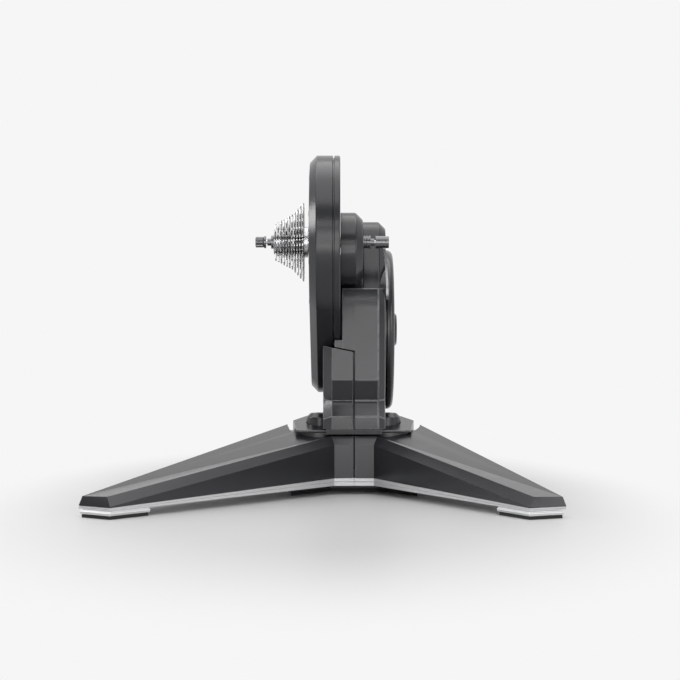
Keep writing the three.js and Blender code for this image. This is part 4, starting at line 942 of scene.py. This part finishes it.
@dataclass
class FlywheelCover:
    """The round cover over the flywheel, with its vents, screws and bearing cap.

    Attributes:
        wheel: The flywheel's place in the side view.
        lid: Profile of the cover.
        vent_floor_x: Faces beyond this lie on the cover's outer side.
        vent_share: Half a vent's width, as a share of the pitch.
        cap: Profile of the cap over the flywheel's bearing.
    """

    wheel: Wheel = DISC[1]
    lid: Corners = (
        (90.7, 60.0, 0.0), (90.7, 114.0, 0.5), (100.7, 114.0, 8.5), (100.7, 97.0, 0.0),
        (99.7, 96.0, 0.0), (99.7, 88.0, 0.0), (99.7, 58.0, 0.0), (99.7, 42.0, 0.0),
        (100.7, 41.0, 0.0), (100.7, 0.0, 0.0))
    vent_count: int = 24
    vent_flats: int = 6
    vent_reach: Pair = (58.0, 88.0)
    vent_floor_x: float = 98.7
    vent_share: float = 0.34
    vent_border: float = 1.0
    vent_depth: float = 2.6
    cap: Corners = (
        (101.0, 0.0, 0.0), (101.0, 24.0, 0.0), (104.0, 24.0, 1.0), (107.0, 21.0, 1.2),
        (107.0, 15.0, 0.0), (106.2, 14.2, 0.0), (106.2, 0.0, 0.0))
    screw_x: float = 99.1
    screw_reach: float = 92.0
    screw_count: int = 6

    def build(self) -> None:
        """Builds the cover, the bearing cap and the screws."""
        centre = self.wheel.centre
        lid = Model().spin(self.lid, centre, segments=self.vent_count * self.vent_flats)
        self._vents(lid)
        lid.finish("flywheel_lid", COVER, replaces="flywheel_cover")
        Model().spin(self.cap, centre).finish("bearing_lid", HOUSING, replaces="bearing_cap")
        face = centre + X_AXIS * self.screw_x
        spots = [face + out * self.screw_reach for out in spokes(self.screw_count)]
        Screws().build("flywheel_lid_screws", spots, X_AXIS)

    def _vents(self, model: Model) -> None:
        """Sinks a ring of radial slots into the cover's face."""
        bmesh.ops.recalc_face_normals(model.bm, faces=model.bm.faces)
        for index in range(self.vent_count):
            chosen = [face for face in model.bm.faces if self._in_vent(
                face.calc_center_median() - self.wheel.centre, index)]
            bmesh.ops.inset_region(
                model.bm, faces=chosen, thickness=self.vent_border, depth=0.0)
            verts = list(dict.fromkeys(vert for face in chosen for vert in face.verts))
            bmesh.ops.translate(model.bm, verts=verts, vec=X_AXIS * -self.vent_depth)

    def _in_vent(self, out: Vector, index: int) -> bool:
        """Whether a face's place from the centre lies in one of the vents."""
        low, high = self.vent_reach
        pitch = 2.0 * math.pi / self.vent_count
        turn = (math.atan2(out.z, out.y) - index * pitch + math.pi) % (2.0 * math.pi) - math.pi
        inside = low < math.hypot(out.y, out.z) < high and abs(turn) < pitch * self.vent_share
        return inside and out.x > self.vent_floor_x


def refined(
    node: str, name: str, finish: Finish, slot: str, width: float, segments: int = 3,
    angle: float = SHARP_ANGLE, body: str = "frame",
) -> None:
    """Makes a piece that is a CAD node with its edges softened, and stands for it.

    Args:
        node: The CAD node.
        name: The piece's name.
        finish: Its surface finish.
        slot: The record's material slot; not used.
        width: The width of its bevels.
        segments: Their number of flats.
        angle: Edges sharper than this many degrees are bevelled.
        body: The CAD body that it rides on.
    """
    copied(node).soften(width, segments, angle).finish(name, finish, slot, node, body)


@dataclass
class Base:
    """The deck, its side covers, the pin caps, the bottom plate and the rear foot.

    Attributes:
        panel_slope: How fast a side cover's top rises to the rear.
        panel_top_z: Points of a side cover above this height belong to its top.
        dome: Profile of the cap over a leg's hinge pin.
        kept: Node, piece, finish, slot and bevel of each piece kept as the CAD has it.
    """

    pin_xs: Pair = (-2.0, 92.0)
    pin_y: float = 85.0
    panel_top_z: float = 82.0
    panel_front_y: float = 39.0
    panel_slope: float = 0.06
    panel_bevel: float = 0.9
    dome: Corners = (
        (87.3, 0.0, 0.0), (87.3, 19.5, 0.4), (99.0, 19.5, 2.0), (105.0, 13.5, 3.0),
        (105.0, 7.0, 0.0), (104.1, 6.4, 0.0), (104.1, 0.0, 0.0))
    kept: tuple[tuple[str, str, Finish, str, float], ...] = (
        ("base_deck", "deck_casting", CASTING, "casting", 0.8),
        ("bottom_plate", "floor_plate", CASTING, "steel", 0.5),
        ("centre_foot", "centre_rubber", RUBBER, "rubber", 0.8),
        ("rear_foot", "rear_casting", CASTING, "casting", 1.2),
        ("rear_pad", "rear_rubber", RUBBER, "rubber", 0.8),
        ("power_inlet", "power_socket", BLACK, "inlet", 0.4),
    )

    def build(self) -> None:
        """Builds each piece of the base."""
        for side, x in zip(("left", "right"), self.pin_xs):
            Model().spin(self.dome, Vector((x, self.pin_y, 0.0)), Z_AXIS).finish(
                f"{side}_pin_dome", HOUSING, replaces=f"{side}_pin_cap")
            panel = copied(f"{side}_base_cover")
            for vert in panel.bm.verts:
                if vert.co.z > self.panel_top_z:
                    vert.co.z += (vert.co.y - self.panel_front_y) * self.panel_slope
            panel.soften(self.panel_bevel).finish(
                f"{side}_side_panel", HOUSING, replaces=f"{side}_base_cover")
        for node, name, finish, slot, width in self.kept:
            refined(node, name, finish, slot, width)


@dataclass
class Leg:
    """One folding leg: its shell, its silver plate and its foot.

    Attributes:
        seam_x: The seam between the two legs at the nose.
        seam_reach: Points of the shell this close to it are moved.
        seam_step: How far they are moved from it.
        foot_growth: Share by which the foot is wider at the floor.
        foot_top: The same at its top.
    """

    side: str
    shell_bevel: float = 1.5
    shell_angle: float = 18.0
    plate_bevel: float = 0.4
    groove_share: float = 0.09
    groove_depth: float = 1.0
    seam_x: float = 45.0
    seam_reach: float = 1.5
    seam_step: float = 0.7
    foot_growth: float = 1.09
    foot_top: float = 0.94
    holder_bevel: float = 0.6
    pad_bevel: float = 0.7

    def build(self) -> None:
        """Builds the leg's four pieces on its own body."""
        shell = copied(f"{self.side}_leg_shell")
        for vert in shell.bm.verts:
            beside = vert.co.x - self.seam_x
            if abs(beside) < self.seam_reach:
                vert.co.x += math.copysign(self.seam_step, beside)
        shell.soften(self.shell_bevel, angle=self.shell_angle)
        self._finish(shell, "leg_cover", LEG, "leg", "leg_shell")
        plate = copied(f"{self.side}_leg_plate").groove(self.groove_share, self.groove_depth)
        self._finish(plate.soften(self.plate_bevel, 2), "leg_strip", SILVER, "silver", "leg_plate")
        holder = copied(f"{self.side}_foot_holder").widened(self.foot_growth, self.foot_top)
        self._finish(
            holder.soften(self.holder_bevel), "foot_shoe", SILVER, "silver", "foot_holder")
        pad = copied(f"{self.side}_foot_pad").widened(self.foot_growth, self.foot_growth)
        self._finish(pad.soften(self.pad_bevel), "foot_rubber", RUBBER, "rubber", "foot_pad")

    def _finish(self, model: Model, name: str, finish: Finish, slot: str, node: str) -> None:
        """Finishes one piece of this side's leg."""
        side = self.side
        model.finish(f"{side}_{name}", finish, slot, f"{side}_{node}", f"{side}_leg")


@dataclass
class Cassette:
    """The sprockets, the lockring and the freehub body that they slide on.

    Attributes:
        notch_span: The part of each pitch that a notch takes up, as two shares.
    """

    teeth: tuple[int, ...] = (11, 12, 13, 14, 15, 16, 17, 19, 21, 23, 25)
    tooth_bevel: float = 0.22
    body_bevel: float = 0.3
    sharp_angle: float = 30.0
    lockring_right_x: float = -62.3
    lockring_radius: float = 16.8
    lockring_thick: float = 1.4
    lockring_bore: float = 12.6
    lockring_bevel: float = 0.3
    lockring_angle: float = 40.0
    notch_count: int = 12
    notch_flats: int = 4
    notch_span: Pair = (0.2, 0.6)
    notch_depth: float = 1.1

    def build(self) -> None:
        """Builds the sprockets, the freehub body and the lockring."""
        for count in self.teeth:
            refined(
                f"sprocket_{count}", f"cog_{count}", SPROCKET, "steel", self.tooth_bevel, 1,
                self.sharp_angle, "cassette")
        refined(
            "freehub_body", "freehub_shell", ALLOY, "steel", self.body_bevel, 2,
            self.sharp_angle, "cassette")
        self._lockring()

    def _lockring(self) -> None:
        """A thin ring with notches for its tool."""
        model = Model()
        centre = AXLE + X_AXIS * self.lockring_right_x
        flats = self.notch_count * self.notch_flats
        rim = model.circle(centre, self.lockring_radius, 2 * flats)
        bore = model.circle(centre, self.lockring_bore, flats)
        start, end = self.notch_span
        for vert in dict.fromkeys(vert for edge in bore for vert in edge.verts):
            out = vert.co - centre
            if start < math.atan2(out.z, out.y) * self.notch_count / (2.0 * math.pi) % 1.0 < end:
                vert.co += out.normalized() * self.notch_depth
        model.thicken(model.fill(rim + bore), X_AXIS * -self.lockring_thick)
        model.soften(self.lockring_bevel, 2, self.lockring_angle).finish(
            "lockring_plate", SPROCKET, "steel", "lockring", "cassette")


@dataclass
class QuickRelease:
    """The axle's ends, the nut, and the lever in its head.

    Attributes:
        end_cap: Profile of the drive side's cap.
        adapter: Profile of the grooved adapter on the other side.
        nut: Profile of the nut, from its flange to the end of its grip.
        flute_x: Points of the nut beyond this belong to the grip.
        flute_reach: Points of the grip beyond this radius belong to its surface.
    """

    end_cap: Corners = (
        (-64.3, 3.2, 0.0), (-64.3, 9.0, 0.3), (-67.5, 9.0, 0.4), (-67.5, 4.9, 0.0),
        (-72.7, 4.9, 0.3), (-72.7, 3.2, 0.0))
    adapter: Corners = (
        (57.9, 3.2, 0.0), (57.9, 9.0, 0.4), (59.6, 9.0, 0.3), (59.9, 7.8, 0.3),
        (61.5, 7.8, 0.3), (61.8, 9.0, 0.3), (63.4, 9.0, 0.3), (63.7, 7.8, 0.3),
        (65.3, 7.8, 0.3), (65.6, 9.0, 0.3), (67.5, 9.0, 0.4), (67.5, 4.9, 0.0),
        (72.7, 4.9, 0.3), (72.7, 3.2, 0.0))
    nut: Corners = (
        (-74.3, 2.8, 0.0), (-74.3, 8.2, 0.5), (-77.3, 8.2, 0.5), (-78.1, 6.6, 0.0),
        (-78.7, 7.2, 0.0), (-88.8, 7.2, 1.2), (-88.8, 2.8, 0.0))
    flute_count: int = 18
    flute_flats: int = 4
    flute_depth: float = 0.45
    flute_x: float = -78.5
    flute_reach: float = 6.8
    head_bevel: float = 0.6
    lever_bevel: float = 0.8
    sharp_angle: float = 40.0

    def build(self) -> None:
        """Builds the end cap, the adapter, the nut, the head and the lever."""
        self._end(self.end_cap, 4, "drive_axle_end", "drive_side_end_cap")
        self._end(self.adapter, 2, "axle_adapter", "non_drive_adapter")
        self._nut()
        refined(
            "quick_release_head", "lever_head", ANODISED, "dark_metal", self.head_bevel,
            angle=self.sharp_angle)
        refined(
            "quick_release_lever", "lever_blade", ANODISED, "steel", self.lever_bevel,
            angle=self.sharp_angle, body="release_lever")

    @staticmethod
    def _end(corners: Corners, steps: int, name: str, node: str) -> None:
        """A hollow part turned about the axle."""
        Model().spin(corners, AXLE, segments=64, ring=True, steps=steps).finish(
            name, ANODISED, "dark_metal", node)

    def _nut(self) -> None:
        """The nut, with flutes round its grip."""
        flats = self.flute_count * self.flute_flats
        model = Model().spin(self.nut, AXLE, segments=flats, ring=True, steps=3)
        for vert in model.bm.verts:
            out = vert.co - AXLE
            reach = math.hypot(out.y, out.z)
            if vert.co.x < self.flute_x and reach > self.flute_reach:
                wave = math.cos(math.atan2(out.z, out.y) * self.flute_count)
                sunk = self.flute_depth * max(0.0, wave) / reach
                vert.co -= Vector((0.0, out.y, out.z)) * sunk
        model.finish(
            "skewer_nut", ANODISED, "dark_metal", "quick_release_nut", "release_nut")


@dataclass(frozen=True)
class Inside:
    """The pieces whose CAD shape is kept, and what each is finished in."""

    finishes: tuple[tuple[Finish, tuple[str, ...]], ...] = (
        (STEEL, (
            "left_hinge_pin", "right_hinge_pin", "fixed_axle", "skewer_rod", "tensioner_pin",
            "flywheel_shaft", "freehub_bearing", "pulley_bearing", "left_flywheel_bearing",
            "right_flywheel_bearing", "idler_pulley")),
        (PLATE, ("tensioner_arm",)),
        (ALLOY, ("large_pulley", "small_pulley")),
        (BELT, ("drive_belt",)),
        (MASS, ("flywheel",)),
        (WINDING, ("brake_stator",)),
        (BOARD, ("circuit_board",)),
        (LENS, ("status_light",)),
    )

    def build(self) -> None:
        """Gives each kept CAD piece its material."""
        for finish, nodes in self.finishes:
            for node in nodes:
                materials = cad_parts[node].data.materials
                materials.clear()
                materials.append(finish.material())
                LOG.info("%s: CAD shape, %s", node, finish.name)


# ---- Studio ----


def shown(name: str, data: bpy.types.ID, place: Triple = (0.0, 0.0, 0.0)) -> bpy.types.Object:
    """Adds an object that holds some data to the scene and hands it back."""
    made = bpy.data.objects.new(name, data)
    made.location = place
    bpy.context.scene.collection.objects.link(made)
    return made


@dataclass(frozen=True)
class Lamp:
    """A rectangular lamp that isn't seen itself, with sizes in metres and power in watts."""

    name: str
    place: Triple
    size: Pair
    power: float

    def hang(self, aim: Vector) -> None:
        """Hangs the lamp, turned to a point."""
        data = bpy.data.lights.new(self.name, "AREA")
        data.shape = "RECTANGLE"
        data.size, data.size_y = self.size
        data.energy = self.power
        lamp = shown(self.name, data, self.place)
        lamp.rotation_euler = (aim - Vector(self.place)).to_track_quat("-Z", "Y").to_euler()
        lamp.visible_camera = False


@dataclass
class Studio:
    """The camera at the photograph's angle, the lamps, the floor and the pale surround.

    Attributes:
        eye: The camera's place.
        aim: The point that the lamps face.
        shadow_reach: Scales the place on the floor before the fade is measured.
        fade: Scaled reaches where the floor starts and ends its turn into the backdrop.
        sweep: Where, along y, reflections pass from the dim room to the pale sweep.
        ambient: The dim room's strength.
    """

    eye: Triple = (0.0211, -2.0106, 0.208)
    lens: float = 79.8
    clip_end: float = 200.0
    aim: Triple = (0.0, 0.0, 0.2)
    floor_half: float = 30.0
    floor_color: Color = (0.55, 0.55, 0.55)
    floor_roughness: float = 0.45
    backdrop_color: Color = (0.92, 0.92, 0.922)
    shadow_reach: Triple = (1.9, 0.95, 0.0)
    fade: Pair = (0.44, 0.92)
    sweep: Pair = (-0.15, 0.3)
    ambient: float = 0.2
    lamps: tuple[Lamp, ...] = (
        Lamp("overhead", (0.0, -0.1, 2.3), (3.2, 3.4), 64.0),
        Lamp("left_side", (-1.5, 0.05, 0.8), (0.7, 0.4), 8.0),
        Lamp("right_side", (2.3, -0.9, 0.7), (1.2, 1.0), 11.0),
        Lamp("key", (1.4, -2.9, 0.6), (1.6, 1.1), 14.0),
        Lamp("front", (0.0, -3.2, 0.62), (1.5, 0.7), 10.5),
        Lamp("front_low", (0.0, -1.5, 0.1), (1.2, 0.2), 2.6),
        Lamp("front_strip", (0.0, -2.9, 1.45), (2.0, 0.2), 7.0),
    )

    def build(self) -> None:
        """Builds everything that isn't part of the object."""
        self._camera()
        for lamp in self.lamps:
            lamp.hang(Vector(self.aim))
        self._floor()
        self._world()
        bpy.context.scene.view_settings.view_transform = "Standard"

    def _camera(self) -> None:
        """A level camera that looks along +y."""
        data = bpy.data.cameras.new("camera")
        data.lens = self.lens
        data.clip_end = self.clip_end
        camera = shown("camera", data, self.eye)
        camera.rotation_euler = (math.pi / 2.0, 0.0, 0.0)
        bpy.context.scene.camera = camera

    def _floor(self) -> None:
        """A matte floor that turns into the backdrop away from the object."""
        model = Model()
        bmesh.ops.create_grid(model.bm, x_segments=1, y_segments=1, size=self.floor_half)
        mesh = bpy.data.meshes.new("floor")
        model.bm.to_mesh(mesh)
        model.bm.free()
        graph = Graph(bpy.data.materials.new("floor_sweep"))
        reach = graph.length(graph.stretched(graph.place(), self.shadow_reach))
        matte = graph.add("ShaderNodeBsdfPrincipled", values={
            "Base Color": self.floor_color, "Roughness": self.floor_roughness})
        pale = graph.add(
            "ShaderNodeEmission", values={"Color": self.backdrop_color, "Strength": 1.0})
        far = reach.above(*self.fade) * graph.seen()
        mesh.materials.append(graph.surface(
            graph.add("ShaderNodeMixShader", values={0: far, 1: matte, 2: pale})))
        shown("floor", mesh)

    def _world(self) -> None:
        """The backdrop where it is seen, and for light a pale sweep behind a dim room."""
        world = bpy.data.worlds.new("surround")
        bpy.context.scene.world = world
        graph = Graph(world)
        across = graph.axis(graph.add("ShaderNodeTexCoord", output="Generated"), "Y")
        eye = graph.add("ShaderNodeLightPath", output="Is Camera Ray")
        behind = across.above(*self.sweep) * graph.seen()
        strength = (eye + behind).above(0.0, 1.0) * (1.0 - self.ambient) + self.ambient
        graph.surface(graph.add("ShaderNodeBackground", values={
            "Color": self.backdrop_color, "Strength": strength}))


def main() -> None:
    """Builds the trainer's looks piece by piece, then the studio."""
    logging.basicConfig(level=logging.INFO, format="%(name)s: %(message)s")
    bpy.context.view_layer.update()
    parts = [
        BeltCover(), FlywheelHousing(), HubHousing(), FlywheelCover(), Base(), Leg("left"),
        Leg("right"), Cassette(), QuickRelease(), Inside(), Studio(),
    ]
    for part in parts:
        part.build()
        LOG.info("built %s", type(part).__name__)


if __name__ == "__main__":
    main()
